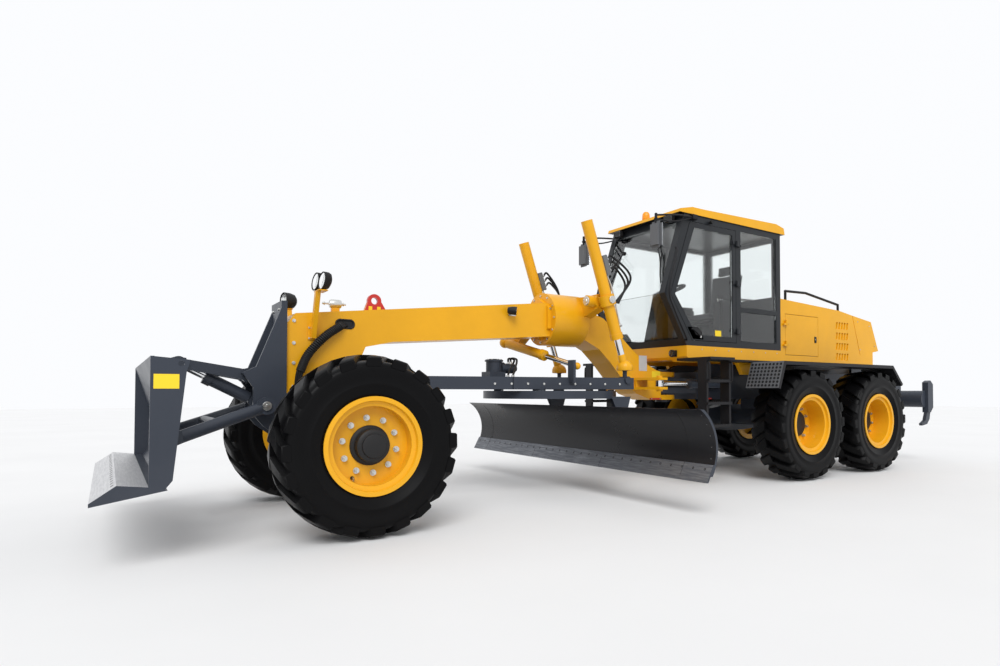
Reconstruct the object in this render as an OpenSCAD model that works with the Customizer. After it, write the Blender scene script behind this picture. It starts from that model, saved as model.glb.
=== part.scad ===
// Motor grader with front dozer blade and rear ripper.
// Millimetres; +X forward, +Y to the machine's left, +Z up.
// Modules measure X from the front axle; place() moves them to mid-length on the ground.

/* [Chassis] */
// Front axle's place ahead of mid-length
front_axle_x = 3658; // [3620:1:3700]
// Front axle to the middle of the tandem
wheelbase = 6219; // [6150:1:6300]
// Distance between the two wheels of a tandem
tandem_pitch = 1538; // [1500:1:1600]
// Distance between left and right wheel centres
track = 2156; // [2100:2:2240]

/* [Wheels] */
// Tyre radius to the lug tips
tyre_r = 685; // [670:1:695]
// Tyre width
tyre_w = 445; // [420:1:460]
// Rim flange radius
rim_r = 380; // [370:1:390]
// Rim width
rim_w = 400; // [380:1:410]
// Axle stub radius
stub_r = 70; // [60:1:80]
// Lugs on each half of a tyre
lugs = 20; // [16:1:24]
// Lug height
lug_h = 46; // [35:1:55]
// Turn of a lug from the middle to the shoulder, in degrees
lug_sweep = 11; // [0:1:16]
// Tread radius at the shoulder, as a share of the middle's
lug_taper = 0.965; // [0.94:0.005:1]

/* [Front frame] */
// Half width of the main beam
beam_hw = 170; // [150:1:180]
// Top of the beam over the front axle
nose_top_z = 1755; // [1740:1:1770]
// Top of the beam at the saddle
saddle_top_z = 2044; // [2030:1:2060]
// Articulation pivot behind the front axle
hitch_x = -4150; // [-4170:1:-4130]
// Articulation pin radius
hitch_pin_r = 60; // [50:1:65]

/* [Blade] */
// Moldboard length
board_l = 4270; // [4000:10:4300]
// Moldboard plate thickness
board_t = 25; // [20:1:30]
// Moldboard curve radius
board_r = 400; // [390:1:420]
// Circle's outer radius
circle_r = 737; // [720:1:750]
// Circle axis behind the front axle
circle_x = -2420; // [-2440:1:-2400]

/* [Cab] */
// Cab half width
cab_hw = 640; // [620:1:660]
// Cab wall thickness
cab_wall = 45; // [40:1:55]
// Cab floor height
cab_z0 = 1629; // [1610:1:1650]
// Cab wall top
cab_z1 = 3186; // [3160:1:3210]
// Glass thickness
glass_t = 8; // [6:1:10]

/* [Engine hood] */
// Hood half width
hood_hw = 600; // [580:1:620]
// Hood height at the front
hood_z1 = 2335; // [2315:1:2355]
// Hood wall thickness
hood_wall = 40; // [30:1:45]

/* [Dozer blade] */
// Dozer blade half width
dozer_hw = 1300; // [1200:10:1320]

/* [Hidden] */
// Seating gap between pieces
fit = 0.3;
// Gap round a door
door_gap = 6;
pin_fit = 0.05;
rod_fit = 0.3;
eps = 1;
$fn = 64;

mid_x = -(wheelbase - tandem_pitch / 2);
back_x = -(wheelbase + tandem_pitch / 2);
wheel_y = track / 2;
axle_z = tyre_r;
WHEELS = [["front_left", 0, 1], ["front_right", 0, -1], ["mid_left", mid_x, 1],
    ["mid_right", mid_x, -1], ["rear_left", back_x, 1], ["rear_right", back_x, -1]];

// Front wheel and steering
kingpin_y = wheel_y - 288;
kingpin_r = 45;
hub_y = 860;
arm_x = -300;
arm_y = kingpin_y;
tie_z = axle_z - 110;
steer_pin_r = 22;

// Linkage points as [x, z], or [x, y, z] for the drawbar's side cylinder
ball = [-150, 1120];
ball_r = 75;
lift_top = [-2740, 2060];
lift_eye = [-2985, 1340];
lift_y = 620;
shift_base = [-2135, -500, 1650];
shift_eye = [-2390, 550, 1353];
artic_base = [-4720, 500];
artic_eye = [-3620, 500];
artic_z = 1180;
// Half height of the gap between the articulation cylinder's rear ears
artic_ear = 62;
doz_a = [560, 970];
doz_d = [1200, 750];
doz_b = [660, 1222];
doz_e = [1160, 1310];
doz_c = [600, 1010];
doz_arm_y = 290;
doz_end_y = 430;
rip_pivot = [-7700, 950];
rip_base = [-8050, 1360];
rip_eye = [-8700, 1175];
rip_beam = [-8850, 970];
rip_arm_y = 400;

// Lifting eye on the beam
eye_x = -422;
eye_z = 1935;
eye_t = 40;
eye_bore_r = 32;

// Tie-down hole in the dozer blade's end plates
tie_down = [1237, 1262];
tie_down_r = 18;

// Drawbar and circle heights
bar_z0 = 1110;
bar_z1 = 1235;
ring_z0 = 1012;
ring_z1 = 1095;

// Moldboard and its carrier
edge_z = 300;
board_edge_x = -2580;
pitch_axis = [-2850, 420];
pitch_pin_r = 35;
slide_y = 540;
leg_y = 580;
rail_top = [-2732, 760];
rail_low = [-2753, 470];
rail_r = 28;
rail_y0 = -1235;
rail_y1 = 815;
board_ribs = [-1220, -225, 800];
shift_line = [-2790, 600];

// Cab outline
cab_front = -3925;
cab_nose = -3568;
cab_nose_z = 2219;
cab_top_x = -3894;
cab_rear = -5705;
b_post = -4810;
post_w = 90;
roof_t = 85;

// Hood outline
hood_x0 = -5760;
hood_z0 = 1500;
hood_bend = [-7147, hood_z1 - 63];
hood_seam = [[-7500, hood_z1 - 111], [-7702, 1640]];
hood_back = [-8015, hood_z1 - 176];
hood_tail = [-8219, 1717];
hood_foot_x = -8059;
hood_block_x = -7350;
hood_door_x0 = -5860;
hood_door_x1 = -6620;
hood_door_z0 = 1580;
hood_door_z1 = 2140;

// Ladder, midway between the circle and the middle tyre
ladder_w = 400;
ladder_x = (circle_x - circle_r + mid_x + tyre_r) / 2 + 1;

HINGE_PIN_R = 10;

YELLOW = "#e8a61e";
SLATE = "#3f434d";
BLACK = "#1d1e20";
STEEL = "#a8abae";

// Shared shapes
module place() {
    translate([front_axle_x, 0, 0]) children();
}

module both() {
    children();
    mirror([0, 1, 0]) children();
}

module side(left) {
    if (left) children();
    else mirror([0, 1, 0]) children();
}

module box(x0, x1, y0, y1, z0, z1) {
    translate([min(x0, x1), min(y0, y1), min(z0, z1)]) cube([abs(x1 - x0), abs(y1 - y0), abs(z1 - z0)]);
}

// A plate cut to an outline in X and Z, from y0 to y1
module plate(points, y0, y1) {
    translate([0, max(y0, y1), 0]) rotate([90, 0, 0]) linear_extrude(abs(y1 - y0)) polygon(points);
}

// A plate cut to an outline in Y and Z, from x0 to x1
module plate_x(points, x0, x1) {
    translate([min(x0, x1), 0, 0]) rotate([90, 0, 90]) linear_extrude(abs(x1 - x0)) polygon(points);
}

// A round bar along Y
module bar_y(p, r, y0, y1) {
    translate([p[0], max(y0, y1), p[1]]) rotate([90, 0, 0]) cylinder(r = r, h = abs(y1 - y0));
}

// A round bar between two points
module bar(p, q, r) {
    d = q - p;
    l = norm(d);
    translate(p) rotate([0, acos(d[2] / l), atan2(d[1], d[0])]) cylinder(r = r, h = l);
}

// Moves children so that their +Z runs from p to q, starting at p
module along(p, q) {
    d = q - p;
    translate(p) rotate([0, acos(d[2] / norm(d)), atan2(d[1], d[0])]) children();
}

function at(p, y) = [p[0], y, p[1]];

// A hydraulic barrel from its foot at z = 0, with a rod gland
module barrel(r, l, bore_r, bore_from) {
    difference() {
        union() {
            cylinder(r = r, h = l);
            translate([0, 0, l - 60]) cylinder(r = r + 8, h = 60);
        }
        translate([0, 0, bore_from]) cylinder(r = bore_r, h = l);
    }
}

// Wheels
// Outline of one half of the tread, cut across the axle: a ring of lugs
function lug_ring() = [for (i = [0 : lugs - 1], c = [[-0.34, 0], [-0.27, 1], [0.27, 1], [0.34, 0]])
    let (a = 360 / lugs * (i + c[0]), r = tyre_r - lug_h * (1 - c[1])) r * [cos(a), sin(a)]];

function ngon(r) = [for (i = [0 : 2 * lugs - 1]) r * [cos(180 / lugs * i), sin(180 / lugs * i)]];

// One half of a tyre: lugs swept back from the middle, with a dished side wall
module tyre_half() {
    side_r = tyre_r - 2.6 * lug_h;
    wall_y = rim_w / 2 - 12;
    dish_h = tyre_w / 2 - wall_y;
    difference() {
        linear_extrude(tyre_w / 2, twist = lug_sweep, scale = lug_taper, slices = 1) polygon(lug_ring());
        translate([0, 0, wall_y]) linear_extrude(dish_h, scale = side_r / (rim_r + 2))
            polygon(ngon(rim_r + 2));
        translate([0, 0, -eps]) linear_extrude(tyre_w) polygon(ngon((rim_r - 25) / cos(90 / lugs)));
    }
}

module tyre(x, s) {
    color(BLACK) place() translate([x, s * wheel_y, axle_z]) rotate([90, 0, 0]) {
        tyre_half();
        rotate([0, 0, 180 / lugs]) mirror([0, 0, 1]) tyre_half();
    }
}

// The rim seats in the tyre's beads and carries a dished disc with a hub
module rim(x, s, front) {
    bead = rim_r - 25 - fit;
    well = bead - 45;
    disc_y = front ? 60 : -60;
    disc_t = 22;
    hub_r = front ? 120 : 150;
    hub_out = front ? 165 : -20;
    color(YELLOW) place() translate([x, s * wheel_y, axle_z]) scale([1, s, 1]) rotate([-90, 0, 0])
        difference() {
            union() {
                rotate_extrude() polygon([[well - 14, -rim_w / 2], [rim_r - 12, -rim_w / 2],
                    [rim_r - 12, -rim_w / 2 + 11], [bead, -rim_w / 2 + 12 - fit], [bead, -90], [well, -60],
                    [well, 60], [bead, 90], [bead, rim_w / 2 - 12 + fit], [rim_r - 12, rim_w / 2 - 11],
                    [rim_r - 12, rim_w / 2], [rim_r - 45, rim_w / 2], [rim_r - 52, rim_w / 2 - 28],
                    [well - 14, rim_w / 2 - 34]]);
                translate([0, 0, disc_y]) cylinder(r = well - 10, h = disc_t, center = true);
                translate([0, 0, disc_y]) cylinder(r = hub_r, h = hub_out - disc_y);
                translate([0, 0, -rim_w / 4]) cylinder(r = hub_r, h = disc_y + rim_w / 4);
            }
            translate([0, 0, -rim_w]) cylinder(r = stub_r + pin_fit, h = rim_w + disc_y - disc_t);
        }
}

// Front axle with its kingpins, under the nose
module front_axle() {
    beam_h = 90;
    color(SLATE) place() {
        difference() {
            union() {
                plate_x([[-kingpin_y + 60, axle_z - 60], [-300, axle_z + 40], [300, axle_z + 40],
                    [kingpin_y - 60, axle_z - 60], [kingpin_y - 60, axle_z + 60], [300, axle_z + 190],
                    [-300, axle_z + 190], [-kingpin_y + 60, axle_z + 60]], -beam_h, beam_h);
                both() translate([0, kingpin_y, axle_z - 75]) cylinder(r = 85, h = 150);
                both() box(-60, 60, kingpin_y - 90, kingpin_y - 40, axle_z - 75, axle_z + 75);
            }
            both() translate([0, kingpin_y, 0]) cylinder(r = kingpin_r + pin_fit, h = 2 * axle_z);
        }
        box(-80, 80, -120, 120, axle_z + 190, 930);
    }
}

// Steering knuckle: fork round the axle end, kingpin, stub and steering arm
module knuckle(left) {
    color(SLATE) place() side(left) {
        translate([0, kingpin_y, axle_z - 150]) cylinder(r = kingpin_r, h = 300);
        for (z = [axle_z - 150, axle_z + 80]) translate([0, kingpin_y, z]) cylinder(r = 80, h = 70);
        for (z = [axle_z - 150, axle_z + 80]) box(-70, 70, kingpin_y, kingpin_y + 145, z, z + 70);
        box(-70, 70, kingpin_y + 98, kingpin_y + 145, axle_z - 150, axle_z + 150);
        bar_y([0, axle_z], stub_r, kingpin_y + 100, wheel_y + 30);
        plate_arm(tie_z - 40, 40);
        translate([arm_x, arm_y, tie_z - 40]) cylinder(r = 45, h = 40);
        translate([arm_x, arm_y, tie_z - 40]) cylinder(r = steer_pin_r, h = 100);
    }
}

module plate_arm(z, h) {
    translate([0, 0, z]) linear_extrude(h) polygon([[-30, kingpin_y - 60], [arm_x, arm_y - 40],
        [arm_x, arm_y + 40], [-30, kingpin_y + 80]]);
}

module tie_rod() {
    color(SLATE) place() difference() {
        union() {
            bar_y([arm_x, tie_z + 30], 24, -arm_y, arm_y);
            both() translate([arm_x, arm_y, tie_z + fit]) cylinder(r = 42, h = 58);
        }
        both() translate([arm_x, arm_y, tie_z - 50]) cylinder(r = steer_pin_r + pin_fit, h = 200);
    }
}

// Front frame: beam, nose and goose neck down to the hinge
function beam_outline() = [[385, 930], [385, 1660], [310, nose_top_z], [-2240, saddle_top_z],
    [-2760, saddle_top_z - 30], [-3050, 1930], [-3330, 1720], [-3500, 1580], [-3700, 1430], [-3880, 1350],
    [-3960, 1330], [-3960, 985], [-3800, 985], [-3560, 1060], [-3360, 1210], [-3160, 1420], [-2990, 1570],
    [-2800, 1660], [-2440, 1696], [-545, 1546], [-290, 1490], [-210, 1300], [-60, 1250], [-60, 930]];

module front_frame() {
    lug_r = 150;
    color(YELLOW) place() {
        difference() {
            union() {
                plate(beam_outline(), -beam_hw, beam_hw);
                for (z = [985, 1270]) hull_lug(z, 60, lug_r, -3900);
                both() plate([[-3500, artic_z - 70], [-3680, artic_z - 70], [-3680, artic_z + 70],
                    [-3500, artic_z + 70]], beam_hw - 10, beam_hw + 60);
                both() for (z = [artic_z - 70, artic_z + 40]) translate([0, 0, z]) linear_extrude(30)
                    polygon([[-3480, beam_hw - 10], [-3560, artic_eye[1] + 60], [-3690, artic_eye[1] + 60],
                        [-3700, beam_hw - 10]]);
            }
            translate([hitch_x, 0, 900]) cylinder(r = hitch_pin_r + pin_fit, h = 600);
        }
        both() for (z = [artic_z - 90, artic_z + 70]) translate([artic_eye[0], artic_eye[1], z])
            cylinder(r = 36, h = 20);
        sphere_stud();
        lifting_eye();
    }
}

// Eye plate on top of the beam
module lifting_eye() {
    difference() {
        union() {
            plate([[eye_x + 110, 1800], [eye_x + 60, eye_z], [eye_x - 60, eye_z], [eye_x - 130, 1820]],
                -eye_t / 2, eye_t / 2);
            bar_y([eye_x, eye_z], 64, -eye_t / 2, eye_t / 2);
        }
        bar_y([eye_x, eye_z], eye_bore_r, -eye_t, eye_t);
    }
}

module hull_lug(z, h, r, x_from) {
    translate([0, 0, z]) linear_extrude(h) union() {
        translate([hitch_x, 0]) circle(r = r);
        polygon([[hitch_x, -r], [hitch_x, r], [x_from, beam_hw], [x_from, -beam_hw]]);
    }
}

// Ball stud under the nose for the drawbar
module sphere_stud() {
    translate([ball[0], 0, ball[1]]) sphere(r = ball_r);
    bar([-55, 0, ball[1]], [ball[0], 0, ball[1]], 40);
}

// Saddle: drum clamped round the beam, with an arm out to each lift cylinder
module lift_saddle() {
    drum_z = 1885;
    drum_r = 290;
    color(YELLOW) place() difference() {
        union() {
            translate([-2760, 0, drum_z]) rotate([0, 90, 0]) cylinder(r = drum_r, h = 460);
            translate([-2320, 0, drum_z]) rotate([0, 90, 0]) cylinder(r = drum_r - 60, h = 60, $fn = 6);
            both() plate_x([[150, 1880], [260, 1900], [lift_y - 100, lift_top[1] - 75],
                [lift_y - 100, lift_top[1] + 75], [300, 2130], [150, 2140]], -2800, -2680);
            both() bar_y(lift_top, 85, lift_y - 150, lift_y - 92);
            both() translate([-2700, lift_y - 155, lift_top[1]]) rotate([0, 90, 0]) cylinder(r = 62, h = 120);
            plate_x([[-180, 1900], [-270, 1960], [-560, 1760], [-560, 1610], [-440, 1600], [-240, 1720]],
                -2340, -2225);
            bar(shift_base - [100, 0, 0], shift_base, 18);
            translate(shift_base) sphere(r = 36);
        }
        plate(beam_outline(), -beam_hw, beam_hw);
        both() bar_y(lift_top, 45 + pin_fit, lift_y - 400, lift_y);
    }
}

// Lift cylinders: both barrels turn on one cross axis in the saddle's arms
module lift_axis(y) {
    along(at(lift_top, y), at(lift_eye, y)) children();
}

module lift_barrels() {
    above = 860;
    below = 430;
    color(SLATE) place() both() {
        lift_axis(lift_y) translate([0, 0, -above]) barrel(62, above + below, 36 + rod_fit, 60);
        difference() {
            lift_axis(lift_y) translate([0, 0, -55]) cylinder(r = 86, h = 110);
            lift_axis(lift_y) translate([0, 0, -100]) cylinder(r = 60, h = 200);
        }
        bar_y(lift_top, 45, lift_y - 160, lift_y - 50);
    }
}

module lift_rods() {
    color(STEEL) place() both() difference() {
        union() {
            lift_axis(lift_y) translate([0, 0, -560])
                cylinder(r = 36, h = 560 + norm(lift_eye - lift_top) - 75);
            translate(at(lift_eye, lift_y)) sphere(r = 90);
        }
        translate(at(lift_eye, lift_y)) sphere(r = 68);
        box(lift_eye[0] - 100, lift_eye[0] + 100, lift_y - 100, lift_y + 100, lift_eye[1] - 100,
            lift_eye[1] - 25);
    }
}

// Drawbar: A-frame from the ball to the circle, with the circle's drive and shoes
module drawbar() {
    rear_x = -3080;
    color(SLATE) place() {
        difference() {
            union() {
                both() translate([0, 0, bar_z0]) linear_extrude(bar_z1 - bar_z0)
                    polygon([[-300, -30], [-300, 90], [-2900, 660], [rear_x, 660], [rear_x, 540],
                        [-2890, 540]]);
                box(-230, -420, -95, 95, ball[1] - 95, ball[1] + 95);
                box(-140, -240, -95, 95, ball[1] - 95, ball[1] + 95);
                box(rear_x, rear_x + 140, -600, 600, bar_z0, bar_z1);
                box(-1700, -1820, -420, 420, bar_z0, bar_z1);
                translate([circle_x, 0, bar_z0]) cylinder(r = circle_r - 150, h = 40);
                both() bar_y([lift_eye[0], lift_eye[1] - 130], 40, lift_y - 60, lift_y + 60);
            }
            translate([ball[0], 0, ball[1]]) sphere(r = ball_r + fit);
            translate([ball[0], 0, ball[1]]) rotate([0, 90, 0]) cylinder(r1 = 42, r2 = 140, h = 160);
            translate([circle_x, 0, bar_z0 - eps]) cylinder(r = 260, h = 200);
        }
        both() translate([lift_eye[0], lift_y, bar_z1 - 20]) cylinder(r = 24, h = lift_eye[1] - bar_z1 - 10);
        both() translate(at(lift_eye, lift_y)) sphere(r = 42);
        translate([circle_x + circle_r - 60, -60, bar_z1 - 5]) cylinder(r = 85, h = 190);
        box(circle_x + circle_r - 150, circle_x + circle_r + 40, -150, 30, bar_z1 - 5, bar_z1 + 60);
        shift_stud();
        for (a = [45, 135, 225, 315]) translate([circle_x, 0, 0]) rotate([0, 0, a])
            box(circle_r - 190, circle_r - 110, -60, 60, ring_z1, bar_z0 + 20);
    }
}

// Upright plate on the drawbar beside the side cylinder's ball end
module shift_stud() {
    p = shift_eye;
    box(p[0] + 60, p[0] + 90, p[1] - 40, p[1] + 60, bar_z1 - 60, p[2] + 60);
}

// Circle: ring turned on the drawbar's shoes, with two legs down behind the moldboard
module blade_circle() {
    p = pitch_axis;
    color(SLATE) place() difference() {
        union() {
            translate([circle_x, 0, ring_z0]) difference() {
                cylinder(r = circle_r, h = ring_z1 - ring_z0 - fit);
                translate([0, 0, -eps]) cylinder(r = circle_r - 130, h = ring_z1);
            }
            both() plate([[p[0] + 60, ring_z0 + 20], [p[0] - 210, ring_z0 + 20], [p[0] - 110, p[1] + 280],
                [p[0] - 75, p[1] - 20], [p[0] - 50, p[1] - 60], [p[0] + 30, p[1] - 60],
                    [p[0] + 55, p[1] - 20],
                [p[0] + 55, p[1] + 40], [p[0] - 16, p[1] + 180], [p[0] - 16, p[1] + 460]], leg_y, leg_y + 50);
        }
        both() bar_y(p, pitch_pin_r + pin_fit, leg_y - eps, leg_y + 100);
    }
}

// Carrier: tips on the circle's legs, guides the moldboard's rails and holds its shift cylinder
module blade_carrier() {
    p = pitch_axis;
    color(SLATE) place() {
        difference() {
            both() plate([[rail_top[0] + 10, 800], [rail_top[0] + 10, 715], [-2750, 690], [-2752, 540],
                [rail_low[0] + 8, 500], [rail_low[0] + 8, 430], [p[0] + 20, p[1] - 55],
                    [p[0] - 40, p[1] - 50],
                [p[0] - 50, p[1] + 40], [-2812, 720], [-2800, 800]], slide_y - 30, slide_y + 30);
            rails(rod_fit);
            bar_y(shift_line, 30, 0, 2 * slide_y);
        }
        both() bar_y(p, pitch_pin_r, slide_y - 20, leg_y + 60);
        box(p[0] - 40, p[0] - 10, -slide_y + 20, slide_y - 20, 400, 520);
        shift_housing();
        box(p[0] - 20, shift_line[0] - 24, -330, -250, 420, 600);
    }
}

module shift_housing() {
    along([shift_line[0], -480, shift_line[1]], [shift_line[0], 470, shift_line[1]])
        barrel(32, 950, 20 + rod_fit, 40);
}

module rails(gap) {
    for (q = [rail_top, rail_low]) bar_y(q, rail_r + gap, rail_y0, rail_y1);
}

// Arc centre of the moldboard's face
function board_c() = [board_edge_x + board_r * cos(48), edge_z + board_r * sin(48) - 10];

module board_profile(t) {
    c = board_c();
    difference() {
        translate(c) circle(r = board_r + t);
        translate(c) circle(r = board_r);
        translate([c[0] - 60, -100]) square([2 * board_r, 3 * board_r]);
        translate([c[0] - 2 * board_r, c[1] + 345]) square([4 * board_r, board_r]);
        translate([c[0] - 2 * board_r, c[1] - board_r * sin(48) - board_r])
            square([4 * board_r, board_r + 60]);
    }
}

module moldboard() {
    color(SLATE) place() {
        rotate([90, 0, 0]) linear_extrude(board_l, center = true) board_profile(board_t);
        plate([[board_edge_x - 32, edge_z], [board_edge_x - 12, edge_z], [board_edge_x - 93, edge_z + 150],
            [board_edge_x - 113, edge_z + 150]], -board_l / 2, board_l / 2);
        rails(0);
        for (y = board_ribs) box(rail_low[0], rail_top[0] + 10, y - 15, y + 15, 430, 800);
        box(shift_line[0] - 32, rail_top[0], 785, 815, shift_line[1] - 40, shift_line[1] + 40);
        bar_y(shift_line, 20, -280, 790);
    }
}

// Drawbar side cylinder, from the saddle's right arm to the drawbar's left side
module shift_barrel() {
    color(YELLOW) place() difference() {
        union() {
            along(shift_base, shift_eye) translate([0, 0, 50]) barrel(52, 600, 28 + rod_fit, 50);
            translate(shift_base) sphere(r = 62);
        }
        translate(shift_base) sphere(r = 36 + fit);
        bar(shift_base - [100, 0, 0], shift_base, 32);
    }
}

module shift_rod() {
    l = norm(shift_eye - shift_base);
    color(STEEL) place() {
        along(shift_base, shift_eye) translate([0, 0, 170]) cylinder(r = 28, h = l - 170);
        translate(shift_eye) sphere(r = 38);
    }
}

// Articulation cylinders
module artic_line(left) {
    s = left ? 1 : -1;
    along([artic_base[0], s * artic_base[1], artic_z], [artic_eye[0], s * artic_eye[1], artic_z]) children();
}

module artic_barrel(left) {
    s = left ? 1 : -1;
    color(SLATE) place() difference() {
        union() {
            artic_line(left) translate([0, 0, 30]) barrel(52, 600, 26 + rod_fit, 40);
            translate([artic_base[0], s * artic_base[1], artic_z - artic_ear + 1])
                cylinder(r = 55, h = 2 * artic_ear - 2);
        }
        translate([artic_base[0], s * artic_base[1], artic_z - 100]) cylinder(r = 25 + pin_fit, h = 200);
    }
}

module artic_rod(left) {
    s = left ? 1 : -1;
    l = artic_eye[0] - artic_base[0];
    color(STEEL) place() difference() {
        union() {
            artic_line(left) translate([0, 0, 310]) cylinder(r = 26, h = l - 330);
            translate([artic_eye[0], s * artic_eye[1], artic_z - 34]) cylinder(r = 50, h = 68);
        }
        translate([artic_eye[0], s * artic_eye[1], artic_z - 100]) cylinder(r = 25, h = 200);
    }
}

// Rear frame with hinge tongue, cylinder ears and ripper brackets
module rear_frame() {
    rail_y = 330;
    color(SLATE) place() union() {
        both() plate([[-4420, 990], [-4420, 1330], [-4700, 1440], [-8230, 1440], [-8230, 1150],
            [-7900, 990]], rail_y - 60, rail_y);
        box(-4420, -4480, -rail_y, rail_y, 990, 1330);
        for (z = [1065, 1180]) translate([0, 0, z]) linear_extrude(70) union() {
            translate([hitch_x, 0]) circle(r = 140);
            polygon([[hitch_x, -140], [hitch_x, 140], [-4430, rail_y], [-4430, -rail_y]]);
        }
        translate([hitch_x, 0, 970]) cylinder(r = hitch_pin_r, h = 380);
        translate([hitch_x, 0, 955]) cylinder(r = hitch_pin_r + 30, h = 29.7);
        translate([hitch_x, 0, 1330.3]) cylinder(r = hitch_pin_r + 30, h = 24);
        for (x = [-5500, -7400]) box(x, x + 40, -rail_y, rail_y, 1160, 1430);
        box(-8190, -8230, -rail_y, rail_y, 1400, 1440);
        both() for (z = [artic_z - artic_ear - 28, artic_z + artic_ear]) translate([0, 0, z])
            linear_extrude(28)
            polygon([[-4640, rail_y - 10], [-4650, 570], [-4790, 570], [-4800, rail_y - 10]]);
        both() translate([artic_base[0], artic_base[1], artic_z - artic_ear - 40])
            cylinder(r = 25, h = 2 * artic_ear + 80);
        both() bar_y(rip_pivot, 40, rail_y - 80, rip_arm_y + 60);
        both() plate([[-7600, 880], [-7600, 1000], [-7800, 1000], [-7800, 880]], rail_y - 60, rail_y);
        box(-7940, -7980, -rail_y, rail_y, 1240, 1440);
        for (y = [-78, 52]) plate([[-7970, 1260], [-7970, 1430], [rip_base[0] - 10, 1430],
            [rip_base[0] - 50, rip_base[1]], [rip_base[0] - 20, 1310]], y, y + 26);
        bar_y(rip_base, 25, -86, 86);
    }
}

module engine_block() {
    color(SLATE) place() {
        box(hood_x0 - 140, hood_block_x + 50, -270, 270, 1160, hood_z1 - 285);
    }
}

// Tandem axle: cross tube and a chain case each side with wheel stubs
module rear_axle() {
    case_y = wheel_y - 438;
    x0 = -wheelbase;
    color(SLATE) place() {
        bar_y([x0, axle_z + 60], 150, -case_y - 10, case_y + 10);
        both() plate([[mid_x + 230, axle_z - 120], [mid_x + 230, axle_z + 100], [x0 + 200, axle_z + 200],
            [x0 - 200, axle_z + 200], [back_x - 230, axle_z + 100], [back_x - 230, axle_z - 120],
            [x0 - 200, axle_z - 180], [x0 + 200, axle_z - 180]], case_y - 80, case_y + 150);
        both() for (x = [mid_x, back_x]) bar_y([x, axle_z], stub_r, case_y + 100, wheel_y - 85);
        box(x0 - 200, x0 + 200, -269, 269, axle_z + 150, 1160);
        both() box(x0 - 140, x0 + 140, 270, 330, axle_z + 150, 990);
    }
}

module fenders() {
    y0 = wheel_y - 248;
    y1 = wheel_y + 222;
    color(BLACK) place() both() {
        plate([[mid_x + 709, 1130], [mid_x + 599, 1447], [back_x - 330, 1447], [back_x - 590, 1190],
            [back_x - 560, 1165], [back_x - 315, 1405], [mid_x + 562, 1405], [mid_x + 669, 1118]], y0, y1);
        for (x = [mid_x - 310, back_x - 72]) box(x, x + 60, 330, y0 + 5, 1340, 1406);
    }
}

// Cab: hollow shell, with the walls cut for door and windows
function cab_outline(i) = [[cab_front - i, cab_z0 + i], [cab_nose - 1.15 * i, cab_nose_z],
    [cab_top_x - 1.1 * i, cab_z1 - i], [cab_rear + i, cab_z1 - i], [cab_rear + i, cab_z0 + i]];

// Door outline, inset from the opening
function door_outline(i) = [[cab_front - post_w - i, cab_z0 + 60 + i],
    [cab_nose - post_w - 1.15 * i, cab_nose_z], [cab_top_x - post_w - 1.1 * i, cab_z1 - 80 - i],
    [b_post + i, cab_z1 - 80 - i], [b_post + i, cab_z0 + 60 + i]];

function quarter_outline(i) = [[b_post - post_w - i, 2150 + i], [b_post - post_w - i, cab_z1 - 80 - i],
    [cab_rear + post_w + i, cab_z1 - 80 - i], [cab_rear + post_w + i, 2150 + i]];

function quarter_low(i) = [[b_post - post_w - i, cab_z0 + 90 + i], [b_post - post_w - i, 2090 - i],
    [cab_rear + post_w + i, 2090 - i], [cab_rear + post_w + i, cab_z0 + 90 + i]];

module front_panes(i) {
    w = cab_hw - 90 - i;
    box(cab_front - 100, cab_nose + 100, -w, w, cab_z0 + 80 + i, cab_z1 - 100 - i);
}

module rear_pane(i) {
    w = cab_hw - 110 - i;
    box(cab_rear - 50, cab_rear + 200, -w, w, 2350 + i, cab_z1 - 100 - i);
}

module cab_frame() {
    color(BLACK) place() {
        difference() {
            plate(cab_outline(0), -cab_hw, cab_hw);
            plate(cab_outline(cab_wall), -cab_hw + cab_wall, cab_hw - cab_wall);
            plate(door_outline(0), -cab_hw - eps, cab_hw + eps);
            plate(quarter_outline(0), -cab_hw - eps, cab_hw + eps);
            plate(quarter_low(0), -cab_hw - eps, cab_hw + eps);
            front_panes(0);
            rear_pane(0);
        }
        both() for (z = door_hinges) hinge_foot(b_post, cab_hw, z);
    }
}

door_hinges = [1800, 2400, 2900];
door_axis = [b_post, cab_hw + 20];

// A lift-off hinge: foot and pin on the fixed side, which lies behind x
module hinge_foot(x, y, z) {
    translate([x, y + 20, z]) cylinder(r = HINGE_PIN_R, h = 70);
    translate([x, y + 20, z]) cylinder(r = 18, h = 25);
    box(x - 60, x, y - eps, y + 30, z, z + 25);
}

module hinge_sleeve(x, y, z) {
    difference() {
        union() {
            translate([x, y + 20, z + 25 + fit]) cylinder(r = 18, h = 44);
            box(x, x + 70, y - eps, y + 12, z + 25 + fit, z + 69);
        }
        translate([x, y + 20, z]) cylinder(r = HINGE_PIN_R + pin_fit, h = 100);
    }
}

module cab_door(left) {
    color(BLACK) place() side(left) {
        difference() {
            plate(door_outline(door_gap), cab_hw - cab_wall, cab_hw);
            plate(door_outline(70), cab_hw - 2 * cab_wall, cab_hw + eps);
        }
        for (z = door_hinges) hinge_sleeve(b_post, cab_hw, z);
    }
}

module door_glass(left) {
    color("#31424a", 0.5) place() side(left)
        plate(door_outline(70 + fit), cab_hw - 26, cab_hw - 26 + glass_t);
}

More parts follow.
